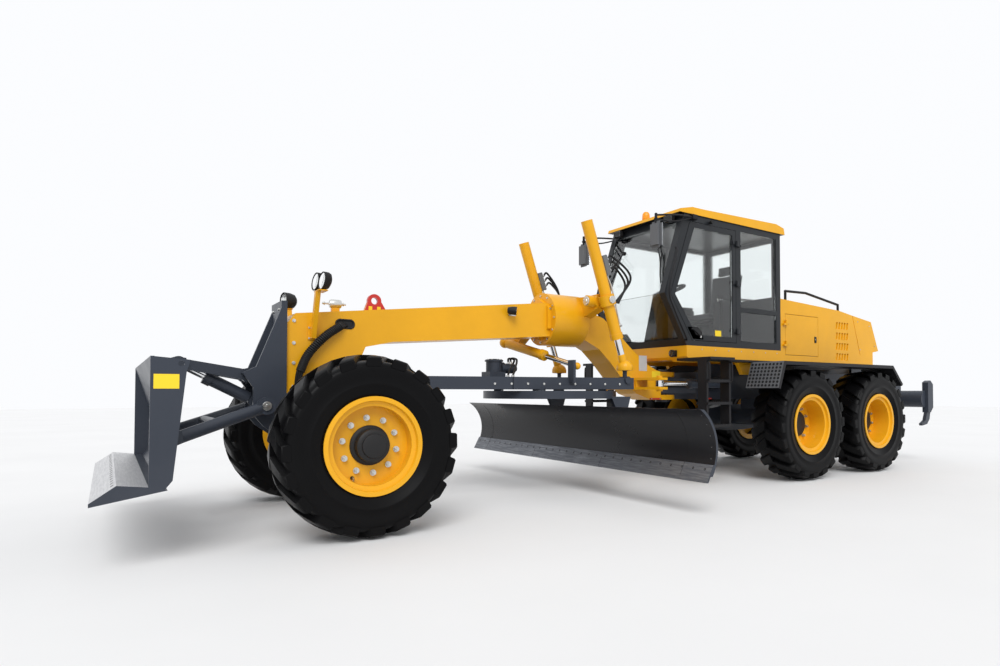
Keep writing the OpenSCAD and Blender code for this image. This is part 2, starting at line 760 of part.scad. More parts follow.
module cab_glass() {
    color("#31424a", 0.5) place() {
        intersection() {
            union() {
                front_panes(fit);
                rear_pane(fit);
            }
            difference() {
                plate(cab_outline(15), -cab_hw, cab_hw);
                plate(cab_outline(15 + glass_t), -2 * cab_hw, 2 * cab_hw);
            }
        }
        both() plate(quarter_outline(fit), cab_hw - 26, cab_hw - 26 + glass_t);
        both() plate(quarter_low(fit), cab_hw - 26, cab_hw - 26 + glass_t);
    }
}

module cab_roof() {
    color(YELLOW) place() {
        plate([[cab_top_x + 90, cab_z1], [cab_top_x + 75, cab_z1 + 40], [cab_top_x - 120, cab_z1 + roof_t],
            [cab_top_x - 320, cab_z1 + roof_t], [cab_rear + 100, cab_z1 + roof_t + 35],
            [cab_rear - 60, cab_z1 + roof_t], [cab_rear - 80, cab_z1]], -cab_hw - 18, cab_hw + 18);
    }
}

// Cab base: yellow skirt under the floor
module cab_base() {
    color(YELLOW) place() difference() {
        plate([[cab_front, cab_z0], [cab_rear, cab_z0], [cab_rear, 1450], [-4850, 1450], [-4800, 1445],
            [-4000, 1445], [cab_front, 1500]], -cab_hw, cab_hw);
        plate([[cab_front - 400, cab_z0 - 30], [cab_rear + 60, cab_z0 - 30], [cab_rear + 60, 1440],
            [cab_front - 400, 1440]], -cab_hw + 60, cab_hw - 60);
        box(cab_front, cab_rear - eps, -345, 345, 1400, 1470);
    }
    color(YELLOW) place() both()
        plate([[-4836, 1452], [-4936, 1300], [-5640, 1300], [-5640, 1452]], cab_hw - 60, cab_hw);
}

module cab_seat() {
    z = cab_z0 + cab_wall;
    color(BLACK) place() translate([b_post + 4700, 0, 0]) {
        box(-4750, -5150, -130, 130, z, z + 330);
        box(-4650, -5220, -260, 260, z + 330, z + 450);
        plate([[-5120, z + 450], [-5220, z + 450], [-5330, z + 1120], [-5230, z + 1140]], -240, 240);
        plate([[-3950, z], [-4130, z], [-4230, z + 700], [-4130, z + 720]], -90, 90);
        translate([-4190, 0, z + 700]) rotate([0, 25, 0]) difference() {
            cylinder(r = 210, h = 30);
            translate([0, 0, -eps]) cylinder(r = 175, h = 40);
        }
        translate([-4190, 0, z + 700]) rotate([0, 25, 0]) box(-180, 180, -25, 25, 0, 20);
        both() box(-4600, -5000, 330, 480, z, z + 620);
    }
}

// Ladders, platforms and handrails
module steps_rails() {
    x0 = ladder_x + ladder_w / 2;
    x1 = ladder_x - ladder_w / 2;
    y0 = 900;
    y1 = 1150;
    color(BLACK) place() both() {
        for (x = [x0, x1 + 30]) box(x, x - 30, y0 + 60, y1 - 60, 690, 1440);
        for (z = [690, 940, 1190]) box(x0, x1, y0 + 40, y1 - 40, z, z + 30);
        box(x0, x1, cab_hw, y1, 1440, 1470);
        box(x1, cab_rear, cab_hw, 860, 1447, 1470);
    }
}

module cab_lamps() {
    color(BLACK) place() {
        translate([cab_top_x - 220, -250, cab_z1 + roof_t]) cylinder(r = 60, h = 165);
        both() box(cab_top_x + 42, cab_top_x + 102, cab_hw - 250, cab_hw - 100, cab_z1 - 90, cab_z1);
    }
}

// Mirrors on tube brackets from the cab's top corners
module mirrors() {
    root = [cab_top_x - 130, cab_hw + 30, cab_z1 - 40];
    head = [cab_top_x + 484, cab_hw + 30, cab_z1 - 334];
    color(BLACK) place() both() {
        box(root[0] - 45, root[0] + 45, cab_hw, root[1] + 25, root[2] - 30, root[2] + 30);
        bar(root, head + [0, 0, 215], 12);
        translate(head) box(-20, 20, -20, 20, 140, 245);
        translate(head) box(-35, 35, -90, 90, -150, 150);
    }
}

// Engine hood: shell with side openings, louvres and a closed radiator shroud behind a slanted seam
module engine_hood() {
    seam = hood_seam;
    color(YELLOW) place() {
        difference() {
            plate([[hood_x0, hood_z0], [hood_x0, hood_z1], hood_bend, seam[0], hood_back, hood_tail,
                [hood_foot_x, 1691], [hood_foot_x, hood_z0]], -hood_hw, hood_hw);
            plate([[hood_x0 - hood_wall, hood_z0 - eps], [hood_x0 - hood_wall, hood_z1 - hood_wall],
                [hood_block_x, hood_z1 - 135], [hood_block_x, hood_z0 - eps]],
                -hood_hw + hood_wall, hood_hw - hood_wall);
            both() box(hood_door_x0, hood_door_x1, hood_hw - 2 * hood_wall, hood_hw + eps, hood_door_z0,
                hood_door_z1);
            both() louvres();
            both() plate([seam[0] + [6, eps], seam[0] - [6, -eps], seam[1] - [6, eps], seam[1] + [6, -eps]],
                hood_hw - 8, hood_hw + eps);
        }
        both() for (z = hood_hinges) mirror([1, 0, 0]) hinge_foot(-hood_axis[0], hood_hw, z);
        both() box(hood_x0, seam[1][0], 300, hood_hw - 20, 1440, hood_z0);
        both() hood_rail();
    }
}

// Slanted cooling slots in rows, cut part way into the side
module louvres() {
    for (i = [0 : 4], j = [0 : 3]) {
        x = hood_block_x + 300 - 68 * i;
        z = 1545 + 152 * j;
        plate([[x, z], [x - 42, z], [x - 66, z + 100], [x - 24, z + 100]], hood_hw - 16, hood_hw + eps);
    }
}

// Handrail along the top of the hood
module hood_rail() {
    w = 12;
    y0 = hood_hw - 130 - w;
    y1 = y0 + 2 * w;
    top = [[-6050, hood_z1 + 145], [-6520, hood_z1 + 158], [-7330, hood_z1 + 51]];
    lift = [0, w];
    box(top[0][0] - w, top[0][0] + w, y0, y1, hood_z1 - 17, top[0][1] + w);
    for (i = [0, 1]) plate([top[i] - lift, top[i] + lift, top[i + 1] + lift, top[i + 1] - lift], y0, y1);
    box(top[2][0] - w, top[2][0] + w, y0, y1, hood_z1 - 95, top[2][1] + w);
}

hood_hinges = [1700, 1980];
hood_axis = [hood_door_x0, hood_hw + 20];

module hood_door(left) {
    color(YELLOW) place() side(left) {
        box(hood_door_x0 - door_gap, hood_door_x1 + door_gap, hood_hw - hood_wall, hood_hw,
            hood_door_z0 + door_gap, hood_door_z1 - door_gap);
        for (z = hood_hinges) mirror([1, 0, 0]) hinge_sleeve(-hood_axis[0], hood_hw, z);
    }
}

// Ripper: two long arms on the rear frame, a cross tube and shanks
module ripper() {
    tube_r = 130;
    color(SLATE) place() difference() {
        union() {
            both() plate([[rip_pivot[0] + 80, 890], [rip_pivot[0] + 80, 1010],
                [rip_beam[0] + 60, rip_beam[1] + 90],
                [rip_beam[0] + 60, rip_beam[1] - 90]], rip_arm_y - 30, rip_arm_y + 30);
            bar_y(rip_beam, tube_r, -1000, 1000);
            for (y = [-1000, -500, 0, 500, 1000]) {
                plate([[-8930, 760], [-9010, 840], [-9010, 1200], [-8930, 1260], [-8850, 1230], [-8850, 760]],
                    y - 45, y + 45);
                plate([[-8960, 780], [-8860, 780], [-8800, 640], [-8690, 590], [-8700, 560], [-8850, 580],
                    [-8930, 660]], y - 25, y + 25);
            }
            for (y = [-70, 35]) plate([[-8650, 1130], [-8650, 1215], [-8750, 1215], [-8900, 1090],
                [-8900, 950],
                [-8780, 1050]], y, y + 35);
        }
        both() bar_y(rip_pivot, 40 + pin_fit, 200, 600);
    }
}

module ripper_barrel() {
    color(SLATE) place() difference() {
        union() {
            along(at(rip_base, 0), at(rip_eye, 0)) translate([0, 0, 30]) barrel(46, 560, 26 + rod_fit, 40);
            bar_y(rip_base, 50, -50, 50);
        }
        bar_y(rip_base, 25 + pin_fit, -100, 100);
    }
}

module ripper_rod() {
    l = norm(rip_eye - rip_base);
    color(STEEL) place() difference() {
        union() {
            along(at(rip_base, 0), at(rip_eye, 0)) translate([0, 0, 110]) cylinder(r = 26, h = l - 130);
            bar_y(rip_eye, 45, -30, 30);
        }
        bar_y(rip_eye, 25, -100, 100);
    }
}

// Dozer mount bolted on the nose
module dozer_mount() {
    color(SLATE) place() {
        box(385, 430, -200, 200, 700, 1850);
        for (y = [-200, 170]) plate([[429, 700], [429, 1790], [620, 1290], [720, 1240], [640, 1120],
            [640, 900], [560, 800]], y, y + 30);
        both() bar_y(doz_a, 40, 180, doz_arm_y + 45);
        bar_y(doz_c, 25, -180, 180);
        bar_y(doz_b, 30, -140, 140);
        for (y = [-141, 111]) plate([[429, 1150], [429, 1290], [620, 1290], [720, 1240],
            [640, 1150]], y, y + 30);
    }
}

// Push arms: two tubes from each rear eye up and down to the blade
module dozer_arms() {
    color(SLATE) place() difference() {
        union() {
            both() bar_y(doz_a, 70, doz_arm_y - 35, doz_arm_y + 40);
            both() bar(at(doz_a, doz_arm_y) + [40, 0, -20], at(doz_d, doz_end_y) + [-30, 0, 0], 48);
            both() bar_y(doz_d, 45, doz_end_y - 40, doz_end_y + 40);
            bar_y([930, 840], 40, -360, 360);
        }
        both() bar_y(doz_a, 40 + pin_fit, 0, 500);
        both() bar_y(doz_d, 25 + pin_fit, 200, 700);
    }
}

module dozer_link() {
    color(SLATE) place() difference() {
        union() {
            both() bar_y(doz_b, 60, 64, 105);
            both() plate([[doz_b[0], doz_b[1] - 45], [doz_b[0], doz_b[1] + 45], [doz_e[0], doz_e[1] + 40],
                [doz_e[0], doz_e[1] - 40]], 64, 105);
            both() bar_y(doz_e, 55, 64, 105);
        }
        bar_y(doz_b, 30 + pin_fit, -200, 200);
        bar_y(doz_e, 26, -200, 200);
    }
}

module dozer_blade() {
    t = 20;
    color(SLATE) place() {
        plate([[1400, 1305], [1380, 1305], [1250, 900], [1275, 537], [1320, 480], [1345, 480], [1300, 545],
            [1275, 900]], -dozer_hw, dozer_hw);
        both() difference() {
            plate([[1400, 1305], [1187, 1286], [1208, 1210], [1275, 537], [1312, 491], [1400, 480]],
                dozer_hw - t, dozer_hw);
            bar_y(tie_down, tie_down_r, dozer_hw - 2 * t, dozer_hw + t);
        }
        plate([[1300, 480], [1694, 413], [1694, 435], [1561, 530], [1345, 500]], -dozer_hw, dozer_hw);
        both() for (y = [doz_end_y - 100, doz_end_y + 65]) difference() {
            plate([[1320, 640], [1320, 860], [1165, 800], [1155, 715]], y, y + 35);
            bar_y(doz_d, 25 - 1, -2000, 2000);
        }
        both() bar_y(doz_d, 25, doz_end_y - 100, doz_end_y + 100);
        both() for (y = [32, 114]) plate([[1390, 1290], [1330, 1150], [1280, 1150], [1110, 1270],
            [1110, 1350],
            [1180, 1360]], y, y + 26);
    }
}

module dozer_barrel() {
    color(SLATE) place() difference() {
        union() {
            along(at(doz_c, 0), at(doz_e, 0)) translate([0, 0, 50]) barrel(50, 370, 25 + rod_fit, 60);
            bar_y(doz_c, 50, -40, 40);
        }
        bar_y(doz_c, 25 + pin_fit, -100, 100);
    }
}

module dozer_rod() {
    l = norm(doz_e - doz_c);
    color(STEEL) place() difference() {
        union() {
            along(at(doz_c, 0), at(doz_e, 0)) translate([0, 0, 215]) cylinder(r = 25, h = l - 235);
            bar_y(doz_e, 42, -16, 16);
        }
        bar_y(doz_e, 25, -100, 100);
    }
}

// Lamp posts on the nose, a lamp each side
module front_lamps() {
    color(BLACK) place() {
        plate_x([[beam_hw, 1540], [beam_hw + 60, 1540], [365, 1940], [310, 1940]], 155, 195);
        box(80, 195, 255, 425, 1930, 2100);
        plate_x([[-beam_hw, 1540], [-beam_hw - 60, 1540], [-330, 1850], [-275, 1850]], 245, 285);
        translate([200, -300, 1915]) rotate([0, 90, 0]) cylinder(r = 75, h = 125);
    }
}

rear_frame();
engine_block();
engine_hood();
fenders();
cab_base();
cab_frame();
cab_roof();
cab_glass();
cab_seat();
steps_rails();
cab_lamps();
mirrors();
rear_axle();
cab_door(true);  // cab_door_left
cab_door(false);  // cab_door_right
door_glass(true);  // door_glass_left
door_glass(false);  // door_glass_right
hood_door(true);  // hood_door_left
hood_door(false);  // hood_door_right
for (w = WHEELS) tyre(w[1], w[2]);
for (w = WHEELS) rim(w[1], w[2], w[1] == 0);
front_frame();
lift_saddle();
front_axle();
front_lamps();
dozer_mount();
knuckle(true);  // knuckle_left
knuckle(false);  // knuckle_right
tie_rod();
dozer_arms();
dozer_link();
dozer_blade();
dozer_barrel();
dozer_rod();
drawbar();
blade_circle();
blade_carrier();
moldboard();
lift_barrels();
lift_rods();
shift_barrel();
shift_rod();
artic_barrel(true);  // artic_barrel_left
artic_rod(true);  // artic_rod_left
artic_barrel(false);  // artic_barrel_right
artic_rod(false);  // artic_rod_right
ripper();
ripper_barrel();
ripper_rod();
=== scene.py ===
"""Dresses the motor grader's solids with finishes, small parts, a stage and a camera."""

import math
from functools import cache, partial

import bmesh
import bpy
from bpy.props import FloatProperty, FloatVectorProperty, IntProperty, PointerProperty
from mathutils import Matrix, Vector
from mathutils.bvhtree import BVHTree


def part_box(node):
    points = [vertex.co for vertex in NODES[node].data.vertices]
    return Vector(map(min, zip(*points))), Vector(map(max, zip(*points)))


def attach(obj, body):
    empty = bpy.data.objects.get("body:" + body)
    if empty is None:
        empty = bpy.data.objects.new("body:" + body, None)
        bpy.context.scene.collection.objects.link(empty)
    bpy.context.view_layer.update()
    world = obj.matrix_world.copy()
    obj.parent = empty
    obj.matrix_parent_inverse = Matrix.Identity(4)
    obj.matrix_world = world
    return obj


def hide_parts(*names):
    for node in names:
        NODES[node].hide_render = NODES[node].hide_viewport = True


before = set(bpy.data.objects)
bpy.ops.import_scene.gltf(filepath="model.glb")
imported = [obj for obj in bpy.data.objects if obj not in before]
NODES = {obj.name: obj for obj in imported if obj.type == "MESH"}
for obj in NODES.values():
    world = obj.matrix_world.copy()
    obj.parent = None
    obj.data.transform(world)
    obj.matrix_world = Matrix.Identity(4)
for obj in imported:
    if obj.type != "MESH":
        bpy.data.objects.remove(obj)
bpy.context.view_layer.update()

bl_info = {
    "name": "Motor Grader Dressing",
    "version": (1, 0, 0),
    "blender": (4, 5, 0),
    "location": "View3D > Sidebar > Grader",
    "description": "Adds finishes, fittings, hoses and a stage to the motor grader's solids",
    "category": "Object",
}

# The front axle's place along the frame, in metres
FRONT_AXLE = 3.658
CORNERS = ("front_left", "front_right", "mid_left", "mid_right", "rear_left", "rear_right")
# Lugs on each half of a tyre, and how far one leans from the middle to the shoulder, in degrees
LUGS = 20
LUG_SWEEP = 11
# Half widths of the front beam and the cab, in millimetres
BEAM_SIDE = 170
CAB_SIDE = 640
# The lift cylinders' yoke and rod eye as x and z, and their distance from the middle, in millimetres
LIFT_TOP = (-2740, 2060)
LIFT_EYE = (-2985, 1340)
LIFT_Y = 620
# A length that counts as nothing, in metres
TINY = 1e-6
UP = Vector((0, 0, 1))


def at(x, y, z):
    """A point given in millimetres, with x from the front axle."""
    return Vector((x / 1000 + FRONT_AXLE, y / 1000, z / 1000))


def turns(count, start=0.0):
    """Angles of equal steps round a circle, the first one at a share of a step."""
    return [2 * math.pi * (i + start) / count for i in range(count)]


def turn_to(axis):
    """The rotation that takes the vertical to an axis."""
    return UP.rotation_difference(Vector(axis)).to_matrix()


def soften(part, edges, width):
    """Rounds edges of a mesh with two steps."""
    bmesh.ops.bevel(part, geom=edges, offset=width, segments=2, affect="EDGES", clamp_overlap=True)


def skin(part, rings, first=True, last=True):
    """Joins rings of vertices by faces, and closes the first and the last ring."""
    for low, high in zip(rings, rings[1:]):
        for i in range(len(low)):
            j = (i + 1) % len(low)
            part.faces.new((low[i], low[j], high[j], high[i]))
    if first:
        part.faces.new(rings[0][::-1])
    if last:
        part.faces.new(rings[-1])


def add_object(name, data):
    """A new object in the scene."""
    thing = bpy.data.objects.new(name, data)
    bpy.context.scene.collection.objects.link(thing)
    return thing


class Form:
    """Collects simple shapes in one mesh, each with a finish, and makes one piece of them."""

    def __init__(self):
        self.bm = bmesh.new()
        self.finishes = []

    def add(self, build, finish):
        """Runs build on a fresh mesh and joins its faces to the form."""
        part = bmesh.new()
        build(part)
        bmesh.ops.recalc_face_normals(part, faces=part.faces)
        if finish not in self.finishes:
            self.finishes.append(finish)
        for face in part.faces:
            face.material_index = self.finishes.index(finish)
        mesh = bpy.data.meshes.new("part")
        part.to_mesh(mesh)
        part.free()
        self.bm.from_mesh(mesh)
        bpy.data.meshes.remove(mesh)

    def block(self, low, high, finish, bevel=0.004, turn=None):
        """A box between two corners, its edges rounded."""
        low, high = Vector(low), Vector(high)

        def build(part):
            bmesh.ops.create_cube(part, size=1)
            size = high - low
            middle = (high + low) / 2
            part.transform(Matrix.Diagonal((abs(size.x), abs(size.y), abs(size.z), 1)))
            if bevel:
                soften(part, part.edges[:], bevel)
            part.transform(Matrix.Translation(middle) @ (turn.to_4x4() if turn else Matrix()))

        self.add(build, finish)

    def rod(self, start, end, radius, finish, sides=20, bevel=0.0):
        """A round bar from start to end."""
        start, end = Vector(start), Vector(end)

        def build(part):
            line = end - start
            bmesh.ops.create_cone(
                part, cap_ends=True, segments=sides, radius1=radius, radius2=radius, depth=line.length
            )
            if bevel:
                soften(part, [e for e in part.edges if abs(e.verts[0].co.z - e.verts[1].co.z) < TINY], bevel)
            part.transform(Matrix.Translation((start + end) / 2) @ turn_to(line).to_4x4())

        self.add(build, finish)

    def turned(
        self, profile, origin, axis, finish, sides=32, stretch=(1, 1), closed=False, open_ends=(False, False)
    ):
        """A profile of (radius, height) points turned about an axis, as a ring if closed."""

        def build(part):
            rings = []
            for radius, height in profile:
                ring = [(stretch[0] * math.cos(a), stretch[1] * math.sin(a)) for a in turns(sides)]
                rings.append([part.verts.new((radius * x, radius * y, height)) for x, y in ring])
            if closed:
                rings.append(rings[0])
            ends = zip((profile[0], profile[-1]), open_ends)
            caps = [end[0] > TINY and not (closed or left_open) for end, left_open in ends]
            skin(part, rings, *caps)
            bmesh.ops.remove_doubles(part, verts=part.verts, dist=TINY)
            part.transform(Matrix.Translation(Vector(origin)) @ turn_to(axis).to_4x4())

        self.add(build, finish)

    def slab(self, outline, thickness, finish, bevel=0.003):
        """A flat outline of points in space, given a thickness along its normal."""

        def build(part):
            face = part.faces.new([part.verts.new(Vector(p)) for p in outline])
            face.normal_update()
            shift = face.normal * thickness
            out = bmesh.ops.extrude_face_region(part, geom=[face])
            moved = [v for v in out["geom"] if isinstance(v, bmesh.types.BMVert)]
            bmesh.ops.translate(part, verts=moved, vec=shift)
            bmesh.ops.recalc_face_normals(part, faces=part.faces)
            if bevel:
                soften(part, part.edges[:], bevel)

        self.add(build, finish)

    def tube(self, points, radius, finish, sides=12, rounds=10):
        """A round tube along a smooth line through the points."""
        line = smooth_line([Vector(p) for p in points], rounds)

        def build(part):
            rings = []
            side = None
            for i, point in enumerate(line):
                ahead = line[min(i + 1, len(line) - 1)] - line[max(i - 1, 0)]
                ahead.normalize()
                if side is None:
                    side = ahead.orthogonal().normalized()
                else:
                    side = (side - ahead * side.dot(ahead)).normalized()
                other = ahead.cross(side)
                spokes = [math.cos(a) * side + math.sin(a) * other for a in turns(sides)]
                rings.append([part.verts.new(point + radius * spoke) for spoke in spokes])
            skin(part, rings)

        self.add(build, finish)

    def ball(self, centre, radius, finish):
        """A sphere."""

        def build(part):
            bmesh.ops.create_uvsphere(part, u_segments=20, v_segments=12, radius=radius)
            part.transform(Matrix.Translation(Vector(centre)))

        self.add(build, finish)

    def bolt(self, point, axis, size, finish):
        """A hexagon head on a washer, standing off the surface along the axis."""
        axis = Vector(axis).normalized()
        point = Vector(point)
        seat = point + axis * size * 0.2
        self.rod(point, seat, size * 0.95, finish, sides=16)
        self.rod(seat, point + axis * size * 0.85, size * 0.75, finish, sides=6, bevel=size * 0.08)

    def piece(self, name, body, slot, sharp=35):
        """Makes the object, smooth but for its sharp edges, and fixes it to a body."""
        mesh = bpy.data.meshes.new(name)
        self.bm.to_mesh(mesh)
        self.bm.free()
        for finish in self.finishes:
            mesh.materials.append(material(finish))
        for polygon in mesh.polygons:
            polygon.use_smooth = True
        mesh.set_sharp_from_angle(angle=math.radians(sharp))
        piece = add_object(name, mesh)
        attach(piece, body)
        return piece


def smooth_line(points, rounds):
    """Points along a curve that passes through the given ones."""
    if len(points) < 3:
        return points
    line = []
    padded = [2 * points[0] - points[1]] + points + [2 * points[-1] - points[-2]]
    for a, b, c, d in zip(padded, padded[1:], padded[2:], padded[3:]):
        for i in range(rounds):
            t = i / rounds
            bend, twist = 2 * a - 5 * b + 4 * c - d, 3 * b - a - 3 * c + d
            line.append(0.5 * (2 * b + (c - a) * t + bend * t * t + twist * t**3))
    line.append(points[-1])
    return line


def colour_setting(name, description, *rgb):
    """A colour that the panel offers."""
    return FloatVectorProperty(
        name=name, description=description, subtype="COLOR", size=4, min=0, max=1, default=(*rgb, 1)
    )


class GraderPaints(bpy.types.PropertyGroup):
    """Colours of the finishes."""

    body_yellow: colour_setting("Body Yellow", "Paint of the frame, hood and wheels", 0.77, 0.375, 0.009)
    tool_slate: colour_setting("Tool Slate", "Paint of the blades, drawbar and ripper", 0.038, 0.045, 0.060)
    trim_black: colour_setting("Trim Black", "Satin black of the rails and fenders", 0.010, 0.010, 0.012)
    cab_grey: colour_setting("Cab Grey", "Dark paint of the cab's posts and doors", 0.013, 0.015, 0.018)
    tyre_black: colour_setting("Tyre Black", "Rubber of the tyres", 0.003, 0.003, 0.0034)
    dust: colour_setting("Dust", "Dry soil that settles low on the machine", 0.33, 0.27, 0.19)
    marking_red: colour_setting("Marking Red", "Paint of the lifting eye and lock bars", 0.50, 0.030, 0.022)
    beacon_amber: colour_setting("Beacon Amber", "Lens of the roof beacon", 0.85, 0.31, 0.012)


class GraderStage(bpy.types.PropertyGroup):
    """Camera and light."""

    lens: FloatProperty(
        name="Lens", description="Millimetres on a 36 mm sensor", default=23.08, min=5, max=200
    )
    key_strength: FloatProperty(
        name="Key Strength", description="Soft sun over the left shoulder", default=2.0, min=0, max=10
    )
    fill_strength: FloatProperty(
        name="Fill Strength", description="Pale sky on every side", default=0.75, min=0, max=5
    )
    floor_size: FloatProperty(
        name="Floor Size", description="Width of the floor", default=90, min=20, max=500, unit="LENGTH"
    )


class GraderFittings(bpy.types.PropertyGroup):
    """Sizes of the fittings."""

    wheel_nuts: IntProperty(name="Wheel Nuts", description="Nuts on each wheel", default=10, min=4, max=20)
    nut_circle: FloatProperty(
        name="Nut Circle", description="Radius to the nuts", default=0.208, min=0.05, max=0.3, unit="LENGTH"
    )
    hose_radius: FloatProperty(
        name="Hose Radius", description="Radius outside", default=0.012, min=0.004, max=0.05, unit="LENGTH"
    )


def connect(tree, socket, value):
    """Links another node's output to an input, or sets the input's own value."""
    if isinstance(value, bpy.types.NodeSocket):
        tree.links.new(value, socket)
    else:
        socket.default_value = value


def add_node(tree, kind, settings=None, **inputs):
    """Adds a shader node with its settings and its inputs by name."""
    node = tree.nodes.new(kind)
    for key, value in (settings or {}).items():
        setattr(node, key, value)
    for key, value in inputs.items():
        connect(tree, node.inputs[key.replace("_", " ")], value)
    return node


def calculate(tree, operation, *values, kind="ShaderNodeMath", **settings):
    """The result of a math node."""
    node = add_node(tree, kind, {"operation": operation, **settings})
    for socket, value in zip(node.inputs, values):
        connect(tree, socket, value)
    return node.outputs[0]


def remap(tree, value, low, high, to_low, to_high):
    """A value taken from one range to another."""
    limits = {"From_Min": low, "From_Max": high, "To_Min": to_low, "To_Max": to_high}
    return add_node(tree, "ShaderNodeMapRange", Value=value, **limits).outputs[0]


def blend(tree, share, first, second):
    """A mix of two colours. The mix node has the colours' sockets behind those of other types."""
    node = add_node(tree, "ShaderNodeMix", {"data_type": "RGBA"})
    for index, value in ((0, share), (6, first), (7, second)):
        connect(tree, node.inputs[index], value)
    return node.outputs[2]


def noise(tree, where, scale, detail, roughness=0.5):
    """The value of a noise texture."""
    node = add_node(tree, "ShaderNodeTexNoise", Vector=where, Scale=scale, Detail=detail, Roughness=roughness)
    return node.outputs[0]


def own_place(tree):
    """Places in the object's own space."""
    return add_node(tree, "ShaderNodeTexCoord").outputs["Object"]


def relief(tree, height, strength, distance=0.002):
    """A surface normal that follows a height."""
    return add_node(tree, "ShaderNodeBump", Strength=strength, Distance=distance, Height=height).outputs[0]


def new_group(name, inputs, outputs):
    """A shader node group, with the sockets inside it that give its inputs and take its outputs."""
    tree = bpy.data.node_groups.new(name, "ShaderNodeTree")
    for label, (kind, default) in inputs.items():
        tree.interface.new_socket(label, in_out="INPUT", socket_type=kind).default_value = default
    for label, kind in outputs.items():
        tree.interface.new_socket(label, in_out="OUTPUT", socket_type=kind)
    return tree, tree.nodes.new("NodeGroupInput").outputs, tree.nodes.new("NodeGroupOutput").inputs


@cache
def weathering_group():
    """Faded patches over the whole paint, and dust that thins out with height."""
    inputs = {
        "Paint": ("NodeSocketColor", (0.8, 0.4, 0.02, 1)),
        "Dust Color": ("NodeSocketColor", (0.33, 0.27, 0.19, 1)),
        "Dust": ("NodeSocketFloat", 0.3),
        "Clean Height": ("NodeSocketFloat", 1.5),
        "Fading": ("NodeSocketFloat", 0.06),
        "Roughness": ("NodeSocketFloat", 0.35),
    }
    outputs = {"Color": "NodeSocketColor", "Roughness": "NodeSocketFloat"}
    tree, given, result = new_group("Weathering", inputs, outputs)
    where = own_place(tree)
    patches = noise(tree, where, scale=1.7, detail=5.0, roughness=0.62)
    specks = noise(tree, where, scale=38.0, detail=4.0, roughness=0.7)
    height = add_node(tree, "ShaderNodeSeparateXYZ", Vector=where).outputs["Z"]
    low = remap(tree, height, 0.0, given["Clean Height"], 1.0, 0.0)
    cloud = remap(tree, patches, 0.38, 0.72, 0.15, 1.0)
    grit = remap(tree, specks, 0.35, 0.7, 0.45, 1.0)
    settled = calculate(tree, "MULTIPLY", calculate(tree, "MULTIPLY", low, cloud), grit)
    mask = calculate(tree, "MULTIPLY", settled, given["Dust"], use_clamp=True)
    shade = remap(tree, patches, 0.3, 0.7, -1.0, 1.0)
    fade = calculate(tree, "MULTIPLY_ADD", shade, given["Fading"], 1.0)
    faded = add_node(tree, "ShaderNodeHueSaturation", Value=fade, Color=given["Paint"]).outputs[0]
    connect(tree, result["Color"], blend(tree, mask, faded, given["Dust Color"]))
    worn = calculate(tree, "MULTIPLY_ADD", mask, 0.5, given["Roughness"])
    connect(tree, result["Roughness"], calculate(tree, "MULTIPLY_ADD", shade, 0.05, worn, use_clamp=True))
    return tree


@cache
def grain_group():
    """Fine surface relief as a height: soft waves with a finer grain on top."""
    inputs = {"Scale": ("NodeSocketFloat", 120.0), "Waviness": ("NodeSocketFloat", 0.5)}
    tree, given, result = new_group("Surface Grain", inputs, {"Height": "NodeSocketFloat"})
    where = own_place(tree)
    fine = noise(tree, where, given["Scale"], detail=3.0)
    waves = calculate(tree, "MULTIPLY", noise(tree, where, scale=6.0, detail=2.0), given["Waviness"])
    connect(tree, result["Height"], calculate(tree, "ADD", fine, waves))
    return tree


@cache
def scratch_group():
    """Streaks worn along one axis, as a mask of bright metal."""
    inputs = {"Stretch": ("NodeSocketVector", (60.0, 3.0, 8.0)), "Amount": ("NodeSocketFloat", 0.5)}
    tree, given, result = new_group("Scraped Streaks", inputs, {"Mask": "NodeSocketFloat"})
    long = calculate(tree, "MULTIPLY", own_place(tree), given["Stretch"], kind="ShaderNodeVectorMath")
    sharp = remap(tree, noise(tree, long, scale=1.0, detail=6.0, roughness=0.7), 0.42, 0.66, 0.0, 1.0)
    connect(tree, result["Mask"], calculate(tree, "MULTIPLY", sharp, given["Amount"], use_clamp=True))
    return tree


def use_group(tree, group, **inputs):
    """Places a node group in a material and gives its outputs."""
    return add_node(tree, "ShaderNodeGroup", {"node_tree": group}, **inputs).outputs


def start_material(name):
    """A new material and its nodes."""
    mat = bpy.data.materials.new(name)
    mat.use_nodes = True
    return mat, mat.node_tree


def shade_with(mat, **inputs):
    """Sets or links the inputs of a material's Principled shader."""
    shader = mat.node_tree.nodes["Principled BSDF"]
    for key, value in inputs.items():
        connect(mat.node_tree, shader.inputs[key.replace("_", " ")], value)
    return mat


def painted(
    name,
    colour,
    roughness=0.5,
    dust=0.05,
    clean_height=1.6,
    grain=300.0,
    depth=0.1,
    shine=0.25,
    coat=0.0,
    metallic=0.0,
    fading=0.06,
):
    """Paint, rubber or plastic: weathered colour and roughness over a grain."""
    mat, tree = start_material(name)
    look = {"Paint": colour, "Dust_Color": bpy.context.scene.grader_paints.dust, "Roughness": roughness}
    wear = {"Dust": dust, "Clean_Height": clean_height, "Fading": fading}
    weather = use_group(tree, weathering_group(), **look, **wear)
    height = use_group(tree, grain_group(), Scale=grain, Waviness=0.6)["Height"]
    return shade_with(
        mat,
        Base_Color=weather["Color"],
        Roughness=weather["Roughness"],
        Normal=relief(tree, height, depth),
        Metallic=metallic,
        Specular_IOR_Level=shine,
        Coat_Weight=coat,
        Coat_Roughness=0.08,
    )


